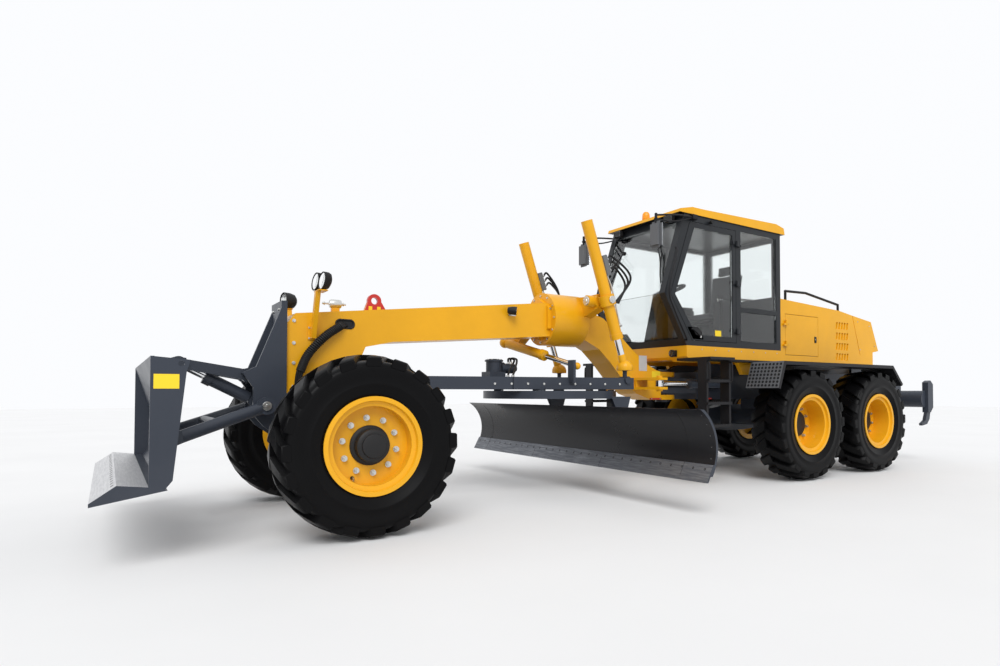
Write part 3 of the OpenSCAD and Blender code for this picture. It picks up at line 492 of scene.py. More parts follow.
def worn_steel(name, colour, bright):
    """Bare steel scraped bright along its length."""
    mat, tree = start_material(name)
    streaks = use_group(tree, scratch_group(), Stretch=(90.0, 5.0, 60.0), Amount=0.6)[0]
    gloss = remap(tree, streaks, 0.0, 1.0, 0.55, 0.28)
    bumps = relief(tree, streaks, 0.2)
    steel = blend(tree, streaks, colour, bright)
    return shade_with(mat, Base_Color=steel, Roughness=gloss, Normal=bumps, Metallic=0.85)


def polished(name, colour, roughness):
    """Hard chrome or zinc with faint streaks in its gloss."""
    mat, tree = start_material(name)
    streaks = use_group(tree, scratch_group(), Stretch=(14.0, 14.0, 14.0), Amount=0.6)[0]
    gloss = remap(tree, streaks, 0.0, 1.0, roughness, roughness + 0.15)
    return shade_with(mat, Base_Color=colour, Roughness=gloss, Metallic=1.0)


def clear(name, colour, roughness=0.03):
    """Tinted glass or a lamp's lens, with a faint film of dust."""
    mat, tree = start_material(name)
    film = use_group(tree, grain_group(), Scale=9.0, Waviness=0.5)[0]
    gloss = remap(tree, film, 0.4, 1.2, roughness, roughness + 0.05)
    return shade_with(mat, Base_Color=colour, Transmission_Weight=1.0, IOR=1.45, Roughness=gloss)


def woven(name, colour):
    """Seat cloth: two sets of threads crossing."""
    mat, tree = start_material(name)
    inputs = {"Vector": own_place(tree), "Scale": 120.0, "Distortion": 0.4}
    waves = [add_node(tree, "ShaderNodeTexWave", {"bands_direction": axis}, **inputs) for axis in ("X", "Z")]
    weave = calculate(tree, "MAXIMUM", *(wave.outputs["Fac"] for wave in waves))
    light = tuple(min(1, c * 1.8) for c in colour[:3]) + (1,)
    cloth = blend(tree, weave, colour, light)
    bumps = relief(tree, weave, 0.4, 0.001)
    return shade_with(mat, Base_Color=cloth, Normal=bumps, Roughness=0.9, Sheen_Weight=0.2)


# The function, colour and values of each finish, where a colour's name means one that the panel offers
RECIPES = {
    "yellow_paint": (painted, "body_yellow", dict(
        roughness=0.33, dust=0.07, clean_height=1.1, grain=260.0, depth=0.05, coat=0.12,
    )),
    "slate_paint": (painted, "tool_slate", dict(
        roughness=0.38, dust=0.06, clean_height=1.2, grain=200.0, depth=0.08, shine=0.2, coat=0.08,
    )),
    "blade_black": (painted, (0.010, 0.010, 0.012, 1), dict(
        roughness=0.30, clean_height=0.7, grain=90.0, depth=0.08, shine=0.2, coat=0.05,
    )),
    "black_trim": (painted, "trim_black", dict(roughness=0.42, grain=500.0, shine=0.2)),
    "cab_grey": (painted, "cab_grey", dict(roughness=0.36, dust=0.04, depth=0.06, coat=0.06)),
    "black_plastic": (painted, (0.013, 0.013, 0.014, 1), dict(grain=700.0, depth=0.2)),
    "tyre_rubber": (painted, "tyre_black", dict(
        roughness=0.36, dust=0.006, clean_height=0.9, grain=160.0, depth=0.2, shine=0.09, fading=0.2,
    )),
    "hose_rubber": (painted, (0.012, 0.012, 0.013, 1), dict(
        dust=0.04, clean_height=1.8, grain=420.0, depth=0.15,
    )),
    "cast_grey": (painted, (0.16, 0.165, 0.17, 1), dict(
        dust=0.1, clean_height=1.2, grain=140.0, depth=0.3, metallic=0.3,
    )),
    "mid_grey": (painted, (0.115, 0.120, 0.128, 1), dict(depth=0.15)),
    "red_paint": (painted, "marking_red", dict(roughness=0.35, grain=240.0, depth=0.06, coat=0.3)),
    # Grey of the data plate, and also a painted reflection behind the roof lamps' lenses
    "plate_grey_and_painted_reflection": (painted, (0.55, 0.56, 0.57, 1), dict(
        roughness=0.4, clean_height=1.0, grain=400.0, depth=0.05, metallic=0.2,
    )),
    "sticker_yellow": (painted, (0.86, 0.62, 0.03, 1), dict(
        roughness=0.4, clean_height=1.0, grain=400.0, depth=0.03,
    )),
    "amber_lens": (painted, "beacon_amber", dict(
        roughness=0.18, dust=0.0, clean_height=1.0, grain=90.0, depth=0.05, coat=0.3,
    )),
    "edge_steel": (worn_steel, (0.13, 0.138, 0.155, 1), dict(bright=(0.28, 0.29, 0.31, 1))),
    "bright_edge": (worn_steel, (0.56, 0.56, 0.57, 1), dict(bright=(0.74, 0.74, 0.74, 1))),
    "zinc": (polished, (0.62, 0.62, 0.60, 1), dict(roughness=0.30)),
    "chrome_rod": (polished, (0.78, 0.79, 0.80, 1), dict(roughness=0.07)),
    "mirror_glass": (polished, (0.85, 0.87, 0.88, 1), dict(roughness=0.02)),
    "reflector": (polished, (0.88, 0.88, 0.86, 1), dict(roughness=0.12)),
    "window_glass": (clear, (0.94, 0.97, 0.965, 1), {}),
    "lamp_lens": (clear, (0.92, 0.94, 0.95, 1), dict(roughness=0.05)),
    "seat_cloth": (woven, (0.030, 0.031, 0.034, 1), {}),
}


@cache
def material(name):
    """The finish of that name, made when it is first used."""
    maker, colour, values = RECIPES[name]
    if isinstance(colour, str):
        colour = getattr(bpy.context.scene.grader_paints, colour)
    return maker(name, colour, **values)


# The finish of every solid, by its node
FINISHES = {
    "yellow_paint": ["engine_hood", "cab_base", "cab_roof", "front_frame", "front_lamps"]
    + ["hood_door_left", "hood_door_right", "lift_saddle", "lift_barrels", "shift_barrel"]
    + ["rim_" + corner for corner in CORNERS],
    "slate_paint": ["drawbar", "blade_circle", "blade_carrier", "moldboard", "ripper", "ripper_barrel"]
    + ["dozer_mount", "dozer_arms", "dozer_link", "dozer_blade", "dozer_barrel", "rear_frame", "rear_axle"]
    + ["artic_barrel_left", "artic_barrel_right", "front_axle", "knuckle_left", "knuckle_right", "tie_rod"],
    "cab_grey": ["cab_frame", "cab_door_left", "cab_door_right"],
    "black_trim": ["steps_rails", "cab_lamps", "mirrors", "fenders"],
    "black_plastic": ["cab_seat"],
    "cast_grey": ["engine_block"],
    "window_glass": ["cab_glass", "door_glass_left", "door_glass_right"],
    "chrome_rod": ["lift_rods", "shift_rod", "artic_rod_left", "artic_rod_right", "dozer_rod", "ripper_rod"],
    "tyre_rubber": ["tyre_" + corner for corner in CORNERS],
}


class GRADER_OT_stage(bpy.types.Operator):
    """Sets up the camera, the floor and the light"""

    bl_idname = "grader.stage"
    bl_label = "Stage"

    def execute(self, context):
        settings = context.scene.grader_stage
        camera = add_object("camera", bpy.data.cameras.new("camera"))
        yaw, pitch = 0.6141, 0.0247
        level = Vector((-math.sin(yaw), -math.cos(yaw), 0))
        ahead = level * math.cos(pitch) + UP * math.sin(pitch)
        camera.location = at(1609.8, 5910, 1087.2)
        camera.rotation_euler = ahead.to_track_quat("-Z", "Y").to_euler()
        camera.data.sensor_width = 36
        camera.data.lens = settings.lens
        camera.data.shift_x = -0.0598
        camera.data.shift_y = 0.04265
        camera.data.clip_end = 500
        context.scene.camera = camera

        key = add_object("key", bpy.data.lights.new("key", "SUN"))
        key.data.energy = settings.key_strength
        key.data.angle = math.radians(35)
        key.rotation_euler = Vector((-0.35, -0.62, -0.70)).to_track_quat("-Z", "Y").to_euler()

        world = bpy.data.worlds.new("studio")
        world.use_nodes = True
        context.scene.world = world
        tree = world.node_tree
        back = tree.nodes["Background"]
        back.inputs["Color"].default_value = (0.97, 0.98, 1.0, 1)
        rays = tree.nodes.new("ShaderNodeLightPath")
        seen = rays.outputs["Is Camera Ray"]
        for kind in ("Is Transmission Ray", "Is Glossy Ray"):
            seen = calculate(tree, "MAXIMUM", seen, rays.outputs[kind])
        connect(tree, back.inputs["Strength"], remap(tree, seen, 0.0, 1.0, settings.fill_strength, 1.0))

        half = settings.floor_size / 2
        mesh = bpy.data.meshes.new("floor")
        corners = [(-half, -half, 0), (half, -half, 0), (half, half, 0), (-half, half, 0)]
        mesh.from_pydata(corners, [], [(0, 1, 2, 3)])
        mat, tree = start_material("studio_floor")
        cloud = noise(tree, own_place(tree), scale=0.6, detail=3.0)
        tone = blend(tree, cloud, (0.76, 0.76, 0.76, 1), (0.82, 0.82, 0.82, 1))
        mesh.materials.append(shade_with(mat, Base_Color=tone, Roughness=0.8))
        floor = add_object("floor", mesh)
        context.scene.view_settings.view_transform = "Standard"
        return {"FINISHED"}


class GRADER_OT_paint(bpy.types.Operator):
    """Gives each solid its finish"""

    bl_idname = "grader.paint"
    bl_label = "Paint Solids"

    def execute(self, context):
        for finish, names in FINISHES.items():
            for name in names:
                NODES[name].data.materials.clear()
                NODES[name].data.materials.append(material(finish))
        return {"FINISHED"}


@cache
def surface(node):
    """A solid's faces, ready for rays."""
    mesh = NODES[node].data
    return BVHTree.FromPolygons([v.co for v in mesh.vertices], [p.vertices for p in mesh.polygons])


def land(node, point, way):
    """Where a ray from the point meets a solid, and the solid's normal there."""
    place, normal, _, _ = surface(node).ray_cast(Vector(point), Vector(way))
    if place is None:
        raise RuntimeError("no surface of " + node + " is met from " + str(tuple(point)))
    return place, normal


def accent(node, finish, test):
    """Gives another finish to the faces of a solid whose centre and normal pass the test."""
    mesh = NODES[node].data
    mesh.materials.append(material(finish))
    index = len(mesh.materials) - 1
    for polygon in mesh.polygons:
        if test(polygon.center, polygon.normal):
            polygon.material_index = index


def wheel_centre(corner):
    """Middle of a wheel, and +1 on the machine's left or -1 on its right."""
    low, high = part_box("rim_" + corner)
    return (Vector(low) + Vector(high)) / 2, 1 if corner.endswith("left") else -1


class GRADER_OT_tyres(bpy.types.Operator):
    """Makes the tyres with rounded lugs and ribbed side walls"""

    bl_idname = "grader.tyres"
    bl_label = "Tyres"

    def execute(self, context):
        wall = ((0.357, 0.184), (0.383, 0.187), (0.392, 0.196), (0.404, 0.197), (0.410, 0.203))
        wall += ((0.450, 0.209), (0.454, 0.213), (0.466, 0.214), (0.470, 0.211), (0.520, 0.218))
        wall += ((0.560, 0.2215), (0.592, 0.2195), (0.612, 0.206), (0.628, 0.170), (0.636, 0.090))
        profile = [(r, -y) for r, y in wall] + [(0.639, 0.0)] + list(reversed(wall))
        for corner in CORNERS:
            centre, _ = wheel_centre(corner)
            form = Form()
            form.turned(profile, centre, (0, 1, 0), "tyre_rubber", sides=112, closed=True)
            for i in range(LUGS):
                self.lug(form, centre, -1, 360 / LUGS * i)
                self.lug(form, centre, 1, 360 / LUGS * (i + 0.5))
            tyre = form.piece("tyre_dressed_" + corner, "wheel_" + corner, "tyre_rubber", sharp=50)
            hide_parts("tyre_" + corner)
        return {"FINISHED"}

    def lug(self, form, centre, half, angle):
        """One lug from the middle of the tread out over the shoulder."""
        pitch = 360 / LUGS
        stations = ((0.0, 0.685, 0.625), (0.5, 0.673, 0.618), (0.92, 0.663, 0.600), (1.0, 0.648, 0.585))

        def build(part):
            rings = []
            for t, tip, root in stations:
                ring = []
                for share, radius in ((-0.34, root), (-0.27, tip), (0.27, tip), (0.34, root)):
                    a = math.radians(angle - LUG_SWEEP * t + share * pitch)
                    place = Vector((radius * math.cos(a), half * 0.2225 * t, radius * math.sin(a)))
                    ring.append(part.verts.new(centre + place))
                rings.append(ring)
            skin(part, rings)
            bmesh.ops.recalc_face_normals(part, faces=part.faces)
            soften(part, part.edges[:], 0.006)

        form.add(build, "tyre_rubber")


class GRADER_OT_wheel_fittings(bpy.types.Operator):
    """Adds the nuts, hub covers and valves to the wheels, and paints shade black on the rims' inner faces"""

    bl_idname = "grader.wheel_fittings"
    bl_label = "Wheel Fittings"

    def execute(self, context):
        sizes = context.scene.grader_fittings
        front_hub = ((0.150, 0.071), (0.150, 0.086), (0.142, 0.093), (0.123, 0.096), (0.123, 0.168))
        front_hub += ((0.112, 0.177), (0.092, 0.179), (0.088, 0.190), (0.078, 0.194), (0.0, 0.196))
        rear_hub = ((0.165, -0.049), (0.165, -0.038), (0.155, -0.032))
        rear_hub += ((0.155, -0.016), (0.140, -0.008), (0.0, -0.006))
        for corner in CORNERS:
            centre, side = wheel_centre(corner)
            out = Vector((0, side, 0))
            front = corner.startswith("front")
            hub = front_hub if front else rear_hub
            face = hub[0][1]
            # Black on the rims' inner faces is painted shade inside the wheels
            accent(
                "rim_" + corner,
                "black_trim",
                lambda c, n: (c.y - centre.y) * side < face - 0.025 and n.dot(c - centre) < 0.1,
            )
            form = Form()
            form.turned(hub, centre, out, "black_plastic", sides=40)
            for a in turns(sizes.wheel_nuts, 0.3):
                point = centre + Vector((math.cos(a), 0, math.sin(a))) * sizes.nut_circle + out * face
                washer, nut = point + out * 0.010, point + out * 0.032
                form.rod(point, washer, 0.023, "zinc")
                form.rod(washer, nut, 0.019, "zinc", sides=6, bevel=0.002)
                form.rod(nut, point + out * 0.044, 0.011, "zinc", sides=12, bevel=0.002)
            valve = centre + Vector((0.13, 0, -0.235)) + out * face
            stem = [valve, valve + out * 0.04, valve + out * 0.07 + Vector((0.01, 0, -0.02))]
            form.tube(stem, 0.007, "zinc")
            form.rod(valve, valve + out * 0.02, 0.013, "black_plastic", sides=16)
            form.piece("wheel_fittings_" + corner, "wheel_" + corner, "chrome_rod")
        return {"FINISHED"}


class GRADER_OT_front_lamps(bpy.types.Operator):
    """Makes the lamps on the nose: a tall pair on the left and a round one on the right"""

    bl_idname = "grader.front_lamps"
    bl_label = "Front Lamps"

    def execute(self, context):
        form = Form()
        tall_x, low_x = 155, 245
        tall_post = ((BEAM_SIDE, 1540), (230, 1540), (365, 1932), (310, 1932))
        low_post = ((-230, 1540), (-BEAM_SIDE, 1540), (-275, 1846), (-330, 1846))
        for x, post in ((tall_x, tall_post), (low_x, low_post)):
            form.slab([at(x, y, z) for y, z in post], 0.040, "yellow_paint")
        form.block(at(110, 262, 1930), at(190, 418, 1940), "yellow_paint", 0.003)
        form.block(at(235, -335, 1836), at(295, -265, 1846), "yellow_paint", 0.003)
        for x, side in ((tall_x, 1), (low_x, -1)):
            low, high = at(x - 20, side * BEAM_SIDE, 1530), at(x + 60, side * 178, 1650)
            form.block(low, high, "yellow_paint", 0.002)
            for dx, z in ((-8, 1545), (48, 1545), (-8, 1635), (48, 1635)):
                form.bolt(at(x + dx, side * 178, z), (0, side, 0), 0.009, "zinc")
        shell = ((0.0, 0.0), (0.024, 0.003), (0.035, 0.016), (0.040, 0.040), (0.041, 0.088))
        shell += ((0.037, 0.091), (0.036, 0.084))
        aim = Vector((1, 0.45, -0.06)).normalized()
        for x, y in ((112, 280), (78, 356)):
            self.head(form, at(x, y, 2020), aim, shell, (1.95, 1.0))
        shell = ((0.0, 0.0), (0.040, 0.004), (0.062, 0.022), (0.073, 0.060), (0.075, 0.112))
        shell += ((0.070, 0.117), (0.068, 0.108))
        self.head(form, at(204, -312, 1915), Vector((1, 0.2, 0)).normalized(), shell, (1.0, 1.0))
        lamps = form.piece("nose_lamps", "front", "black_paint")
        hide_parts("front_lamps")
        return {"FINISHED"}

    def head(self, form, back, aim, shell, stretch):
        """A shell, a bright dish in its rim and a lens over the dish, facing along aim."""
        radius, depth = shell[-1]
        dish = ((radius, depth), (radius * 0.6, depth - 0.012), (0.0, depth - 0.018))
        lens = ((radius, depth + 0.001), (radius * 0.7, depth + 0.006), (0.0, depth + 0.008))
        form.turned(shell, back, aim, "black_plastic", stretch=stretch, open_ends=(False, True))
        form.turned(dish, back, aim, "reflector", stretch=stretch, open_ends=(True, False))
        form.turned(lens, back, aim, "lamp_lens", stretch=stretch, open_ends=(True, False))


class GRADER_OT_cab_lamps(bpy.types.Operator):
    """Makes the amber beacon and the lamps at the roof's front corners, with a painted reflection behind
    their lenses
    """

    bl_idname = "grader.cab_lamps"
    bl_label = "Cab Lamps"

    def execute(self, context):
        form = Form()
        base = at(-4114, -250, 3271)
        foot = ((0.060, 0.0), (0.060, 0.018), (0.054, 0.026), (0.050, 0.040), (0.0, 0.040))
        form.turned(foot, base, UP, "black_plastic")
        dome = ((0.048, 0.038), (0.052, 0.048), (0.052, 0.060), (0.049, 0.062), (0.052, 0.064))
        dome += ((0.051, 0.105), (0.045, 0.138), (0.030, 0.157), (0.0, 0.164))
        form.turned(dome, base, UP, "amber_lens")
        for side in (1, -1):
            form.block(at(-3852, side * 390, 3098), at(-3797, side * 540, 3186), "black_plastic", 0.012)
            # A light grey block behind each lens is a painted reflection, standing for the lamp's shining
            # reflector
            form.block(at(-3798, side * 402, 3108), at(-3795, side * 528, 3172), "plate_grey_and_painted_reflection", 0.001)
            form.block(at(-3795, side * 400, 3106), at(-3792, side * 530, 3174), "lamp_lens", 0.001)
        lamps = form.piece("roof_lamps", "rear", "black_paint")
        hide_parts("cab_lamps")
        return {"FINISHED"}


class GRADER_OT_mirrors(bpy.types.Operator):
    """Makes the mirrors with their heads, stays and glass"""

    bl_idname = "grader.mirrors"
    bl_label = "Mirrors"

    def execute(self, context):
        form = Form()
        for side in (1, -1):
            root = at(-4024, side * 670, 3146)
            head = at(-3410, side * 670, 2852)
            form.block(at(-4069, side * CAB_SIDE, 3116), at(-3979, side * 695, 3176), "black_trim", 0.006)
            top = head + UP * 0.225
            low = head + Vector((-0.05, 0, 0.175))
            upper = root.lerp(top, 0.5) + Vector((0, side * 0.02, 0.01))
            lower = root.lerp(low, 0.55) + Vector((0, side * 0.01, -0.03))
            form.tube([root, upper, top], 0.011, "black_trim")
            form.tube([root, lower, low], 0.009, "black_trim")
            form.rod(head + UP * 0.245, head + UP * 0.10, 0.016, "black_trim", bevel=0.003)
            for low, high, finish, bevel in (
                ((-0.065, -0.02, 0.16), (0.02, 0.02, 0.19), "black_trim", 0.006),
                ((-0.032, -0.090, -0.150), (0.035, 0.090, 0.150), "mid_grey", 0.030),
                ((-0.035, -0.072, -0.130), (-0.031, 0.072, 0.130), "mirror_glass", 0.001),
            ):
                form.block(head + Vector(low), head + Vector(high), finish, bevel)
        mirrors = form.piece("mirrors_dressed", "rear", "black_paint")
        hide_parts("mirrors")
        return {"FINISHED"}


class GRADER_OT_cab_inside(bpy.types.Operator):
    """Makes the seat, the steering column and the side consoles"""

    bl_idname = "grader.cab_inside"
    bl_label = "Cab Inside"

    def execute(self, context):
        form = Form()
        floor = 1674
        form.block(at(-5260, -130, floor), at(-4860, 130, floor + 120), "black_plastic", 0.02)
        for i in range(6):
            z = floor + 125 + 30 * i
            form.block(at(-5230, -120, z), at(-4890, 120, z + 31), "hose_rubber", 0.010)
        form.block(at(-5310, -235, floor + 305), at(-4780, 235, floor + 340), "black_plastic", 0.012)
        column = ((-4060, 0), (-4240, 0), (-4335, 690), (-4245, 712))
        form.slab([at(x, -90, floor + z) for x, z in column], -0.18, "black_plastic", 0.02)
        tilt = Matrix.Rotation(math.radians(25), 3, "Y")
        hub = at(-4300, 0, floor + 700)
        round_trip = turns(40) + [2 * math.pi]
        rim = [hub + tilt @ Vector((0.193 * math.cos(a), 0.193 * math.sin(a), 0.015)) for a in round_trip]
        form.tube(rim, 0.015, "black_plastic", rounds=2)
        for a in (0.5, 2.6, 4.7):
            spoke = tilt @ Vector((0.19 * math.cos(a), 0.19 * math.sin(a), 0.012))
            form.rod(hub, hub + spoke, 0.011, "black_trim")
        boss = ((0.045, 0.0), (0.045, 0.02), (0.03, 0.03), (0.0, 0.032))
        form.turned(boss, hub, tilt @ UP, "black_plastic")
        knob = ((0.006, 0.0), (0.013, 0.008), (0.013, 0.02), (0.0, 0.026))
        for side in (1, -1):
            low, high = at(-5110, side * 330, floor), at(-4710, side * 480, floor + 560)
            form.block(low, high, "black_plastic", 0.025)
            low, high = at(-5100, side * 340, floor + 555), at(-4750, side * 470, floor + 580)
            form.block(low, high, "seat_cloth", 0.012)
            for i in range(3):
                stick = at(-4740 - 45 * i, side * 405, floor + 560)
                form.rod(stick, stick + Vector((0.01, 0, 0.045)), 0.006, "zinc")
                form.turned(knob, stick + Vector((0.01, 0, 0.04)), (0.1, 0, 1), "black_plastic", sides=14)
        controls = form.piece("cab_controls", "rear", "seat_trim")
        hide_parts("cab_seat")
        self.cushion("seat_cushion", at(-5320, -255, floor + 340), at(-4765, 255, floor + 448), 0)
        self.cushion("seat_back", at(-5415, -235, floor + 450), at(-5300, 235, floor + 1010), -9)
        self.cushion("head_rest", at(-5428, -130, floor + 1015), at(-5348, 130, floor + 1135), -9)
        return {"FINISHED"}

    def cushion(self, name, low, high, lean):
        """A crowned pad with pulled-in sides and sewn channels."""
        size = high - low
        bm = bmesh.new()
        bmesh.ops.create_cube(bm, size=1)
        bmesh.ops.subdivide_edges(bm, edges=bm.edges[:], cuts=11, use_grid_fill=True)
        thin = min(range(3), key=lambda k: size[k])
        along, across = [k for k in range(3) if k != thin]
        for vert in bm.verts:
            u, w = vert.co[along] * 2, vert.co[across] * 2
            vert.co[thin] *= 0.62 + 0.38 * (1 - u**4) * (1 - w**4)
            if vert.co[thin] > 0:
                vert.co[thin] *= 1 - 0.10 * max(0.0, math.cos(u * 9.42)) ** 8 * (1 - w * w)
            vert.co[along] *= 1 - 0.05 * (1 - abs(w)) * abs(u)
            vert.co[across] *= 1 - 0.05 * (1 - abs(u)) * abs(w)
        bm.transform(Matrix.Diagonal((size.x, size.y, size.z, 1)))
        bm.transform(Matrix.Rotation(math.radians(lean), 4, "Y"))
        bm.transform(Matrix.Translation((high + low) / 2))
        mesh = bpy.data.meshes.new(name)
        bm.to_mesh(mesh)
        bm.free()
        mesh.materials.append(material("seat_cloth"))
        for polygon in mesh.polygons:
            polygon.use_smooth = True
        pad = add_object(name, mesh)
        soft = pad.modifiers.new("soft", "SUBSURF")
        soft.levels = soft.render_levels = 1
        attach(pad, "rear")


class GRADER_OT_cab_trim(bpy.types.Operator):
    """Adds door handles, wipers, grab bars and lamps to the cab, and paints shade black under its roof"""

    bl_idname = "grader.cab_trim"
    bl_label = "Cab Trim"

    def execute(self, context):
        # Black on the roof's downward faces is painted shade under the roof
        accent("cab_roof", "black_trim", lambda c, n: n.z < -0.5)
        form = Form()
        for side in (1, -1):
            pivot, tip = at(-3775, side * 310, 2855), at(-3607, side * 539, 2352)
            ahead = Vector((1, 0, 0))
            form.rod(pivot - ahead * 0.03, pivot + ahead * 0.012, 0.026, "black_plastic", bevel=0.004)
            form.tube([pivot, at(-3694, side * 440, 2640), at(-3655, side * 480, 2500)], 0.008, "black_trim")
            form.tube([at(-3735, side * 425, 2740), at(-3655, side * 482, 2500), tip], 0.009, "hose_rubber")
            bar = ((-3745, 2760), (-3735, 2690), (-3617, 2249), (-3700, 2020), (-3880, 1724), (-3905, 1690))
            depths = [CAB_SIDE] + [672] * (len(bar) - 2) + [CAB_SIDE]
            form.tube([at(x, side * y, z) for (x, z), y in zip(bar, depths)], 0.012, "black_trim")
            form.block(at(-3925, side * 410, 1500), at(-3917, side * 485, 1580), "black_plastic", 0.003)
            cup = ((0.0, 0.0), (0.030, 0.004), (0.043, 0.022), (0.045, 0.052), (0.041, 0.055), (0.0, 0.050))
            lens = ((0.040, 0.0535), (0.030, 0.058), (0.0, 0.060))
            form.turned(cup, at(-3918, side * 447, 1540), ahead, "black_plastic")
            form.turned(lens, at(-3918, side * 447, 1540), ahead, "lamp_lens")
            out = (0, side, 0)
            for x in range(-5620, -3940, 240):
                form.bolt(at(x, side * CAB_SIDE, 1590), out, 0.008, "zinc")
            marker = at(-4325, side * CAB_SIDE, 3130)
            form.turned(cup, marker, out, "black_plastic", sides=20, stretch=(0.5, 0.5))
        form.piece("cab_fittings", "rear", "black_paint")
        for name, side in (("left", 1), ("right", -1)):
            form = Form()
            panel = ((-4030, 1705), (-4215, 1705), (-4190, 1790), (-4120, 1860), (-3930, 1850))
            if side < 0:
                panel = panel[::-1]
            form.slab([at(x, side * CAB_SIDE, z) for x, z in panel], -0.008, "black_plastic", 0.003)
            grip = [at(-3995, side * 646, 1822), at(-4010, side * 672, 1815), at(-4110, side * 672, 1752)]
            form.tube(grip + [at(-4125, side * 646, 1742)], 0.012, "black_trim")
            form.rod(at(-4150, side * 646, 1740), at(-4150, side * 656, 1740), 0.016, "zinc", bevel=0.003)
            form.block(at(-4545, side * 622, 1762), at(-4435, side * 624, 1832), "sticker_yellow", 0.0004)
            form.piece("door_handle_" + name, "cab_door_" + name, "black_paint")
        return {"FINISHED"}


class GRADER_OT_hood_trim(bpy.types.Operator):
    """Adds latches, shroud bolts and the rear grille to the hood"""

    bl_idname = "grader.hood_trim"
    bl_label = "Hood Trim"

    def execute(self, context):
        accent("engine_hood", "black_trim", lambda c, n: c.z > 2.2 and 0.455 < abs(c.y) < 0.485)
        radius = 0.0178
        form = Form()
        for side in (1, -1):
            rail = ((-6050, 2310), (-6050, 2480), (-6520, 2493), (-7330, 2386), (-7330, 2236))
            rail = [at(x, side * 470, z) for x, z in rail]
            for start, end in zip(rail, rail[1:]):
                form.rod(start, end, radius, "black_trim")
            for bend in rail[1:-1]:
                form.ball(bend, radius, "black_trim")
            for foot in (rail[0], rail[-1]):
                beside, _ = land("engine_hood", foot + Vector((0.04, 0, 0.1)), -UP)
                flat = Vector((foot.x, foot.y, beside.z))
                form.rod(flat, flat + UP * 0.008, 0.034, "black_trim", bevel=0.002)
        for i in range(11):
            place, _ = land("engine_hood", at(-9000, 0, 1750 + 36 * i), (1, 0, 0))
            low = Vector((place.x - 0.004, -0.5, place.z - 0.011))
            high = Vector((place.x + 0.010, 0.5, place.z + 0.011))
            form.block(low, high, "black_trim", 0.004)
        for side in (1, -1):
            for x, z in ((-7700, 1720), (-7640, 2140), (-8110, 1790), (-7960, 2090)):
                place, normal = land("engine_hood", at(x, side * 900, z), (0, -side, 0))
                form.bolt(place, normal, 0.010, "zinc")
        form.piece("hood_fittings", "rear", "yellow_paint")
        for name, side in (("left", 1), ("right", -1)):
            form = Form()
            place, _ = land("hood_door_" + name, at(-6550, side * 900, 1815), (0, -side, 0))
            out = Vector((0, side, 0))
            low, high = Vector((-0.025, -0.001, -0.045)), Vector((0.025, 0.006 * side, 0.045))
            form.block(place + low, place + high, "black_plastic")
            form.rod(place + out * 0.004, place + out * 0.013, 0.017, "zinc", bevel=0.002)
            half = Vector((0.006, 0, 0.024))
            form.block(place + out * 0.012 - half, place + out * 0.019 + half, "black_trim")
            form.piece("hood_latch_" + name, "hood_door_" + name, "black_paint")
        return {"FINISHED"}


class GRADER_OT_beam_trim(bpy.types.Operator):
    """Adds the grommets, lamps, plates and bolts to the front frame"""

    bl_idname = "grader.beam_trim"
    bl_label = "Beam Trim"

    def execute(self, context):
        accent("front_frame", "red_paint", lambda c, n: abs(c.y) < 0.025 and 3.08 < c.x < 3.40 and c.z > 1.86)
        form = Form()
        cup = ((0.0, -0.05), (0.030, -0.045), (0.042, 0.0), (0.044, 0.045), (0.040, 0.050), (0.0, 0.048))
        lens = ((0.039, 0.050), (0.030, 0.055), (0.0, 0.057))
        for side in (1, -1):
            for x in (-382, -462):
                low, high = at(x - 17, side * 20, 1840), at(x + 17, side * 21.5, 1882)
                form.block(low, high, "sticker_yellow", 0.0004)
            foot = at(-1850, side * BEAM_SIDE, 1905)
            low, high = Vector((-0.02, 0, -0.03)), Vector((0.07, side * 0.012, 0.03))
            form.block(foot + low, foot + high, "zinc", 0.002)
            form.rod(foot, foot + Vector((0.03, side * 0.06, 0.01)), 0.010, "zinc")
            lamp, aim = at(-1790, side * 235, 1922), (-0.75, side * 0.6, -0.1)
            form.turned(cup, lamp, aim, "black_plastic")
            form.turned(lens, lamp, aim, "lamp_lens")
            loop = []
            for a in turns(36):
                push = math.copysign(0.043, math.cos(a))
                spoke = Vector((0.036 * math.cos(a) + push, 0, 0.036 * math.sin(a)))
                loop.append(at(-104, side * 171, 1686) + spoke)
            form.tube(loop + loop[:1], 0.009, "hose_rubber", rounds=2)
            form.slab(loop, 0.001, "black_plastic", 0)
            for z in (1690, 1500, 1330, 1130):
                form.bolt(at(325, side * BEAM_SIDE, z), (0, side, 0), 0.016, "zinc")
        form.block(at(-110, -60, 1795), at(-40, -10, 1850), "yellow_paint", 0.004)
        can = ((0.0, 0.0), (0.034, 0.005), (0.040, 0.02), (0.040, 0.09), (0.035, 0.105), (0.0, 0.11))
        form.turned(can, at(-20, -35, 1885), (-1, 0, 0), "zinc")
        form.rod(at(40, -35, 1885), at(-170, -35, 1885), 0.009, "zinc", sides=12)
        for x in (20, -150):
            form.bolt(at(x, -35, 1885), (1, 0, 0), 0.018, "zinc")
        form.block(at(-3728, BEAM_SIDE, 1335), at(-3600, 171.5, 1520), "plate_grey_and_painted_reflection", 0.0005)
        form.block(at(-3950, BEAM_SIDE, 1255), at(-3810, 171.5, 1335), "sticker_yellow", 0.0005)
        for x, z in ((-3610, 1345), (-3718, 1345), (-3610, 1510), (-3718, 1510)):
            form.rod(at(x, 171, z), at(x, 173, z), 0.004, "zinc", sides=10)
        form.piece("beam_fittings", "front", "yellow_paint")
        return {"FINISHED"}


def lift_axis():
    """The way that a lift cylinder points, from its rod's eye to its yoke."""
    return (at(LIFT_TOP[0], 0, LIFT_TOP[1]) - at(LIFT_EYE[0], 0, LIFT_EYE[1])).normalized()


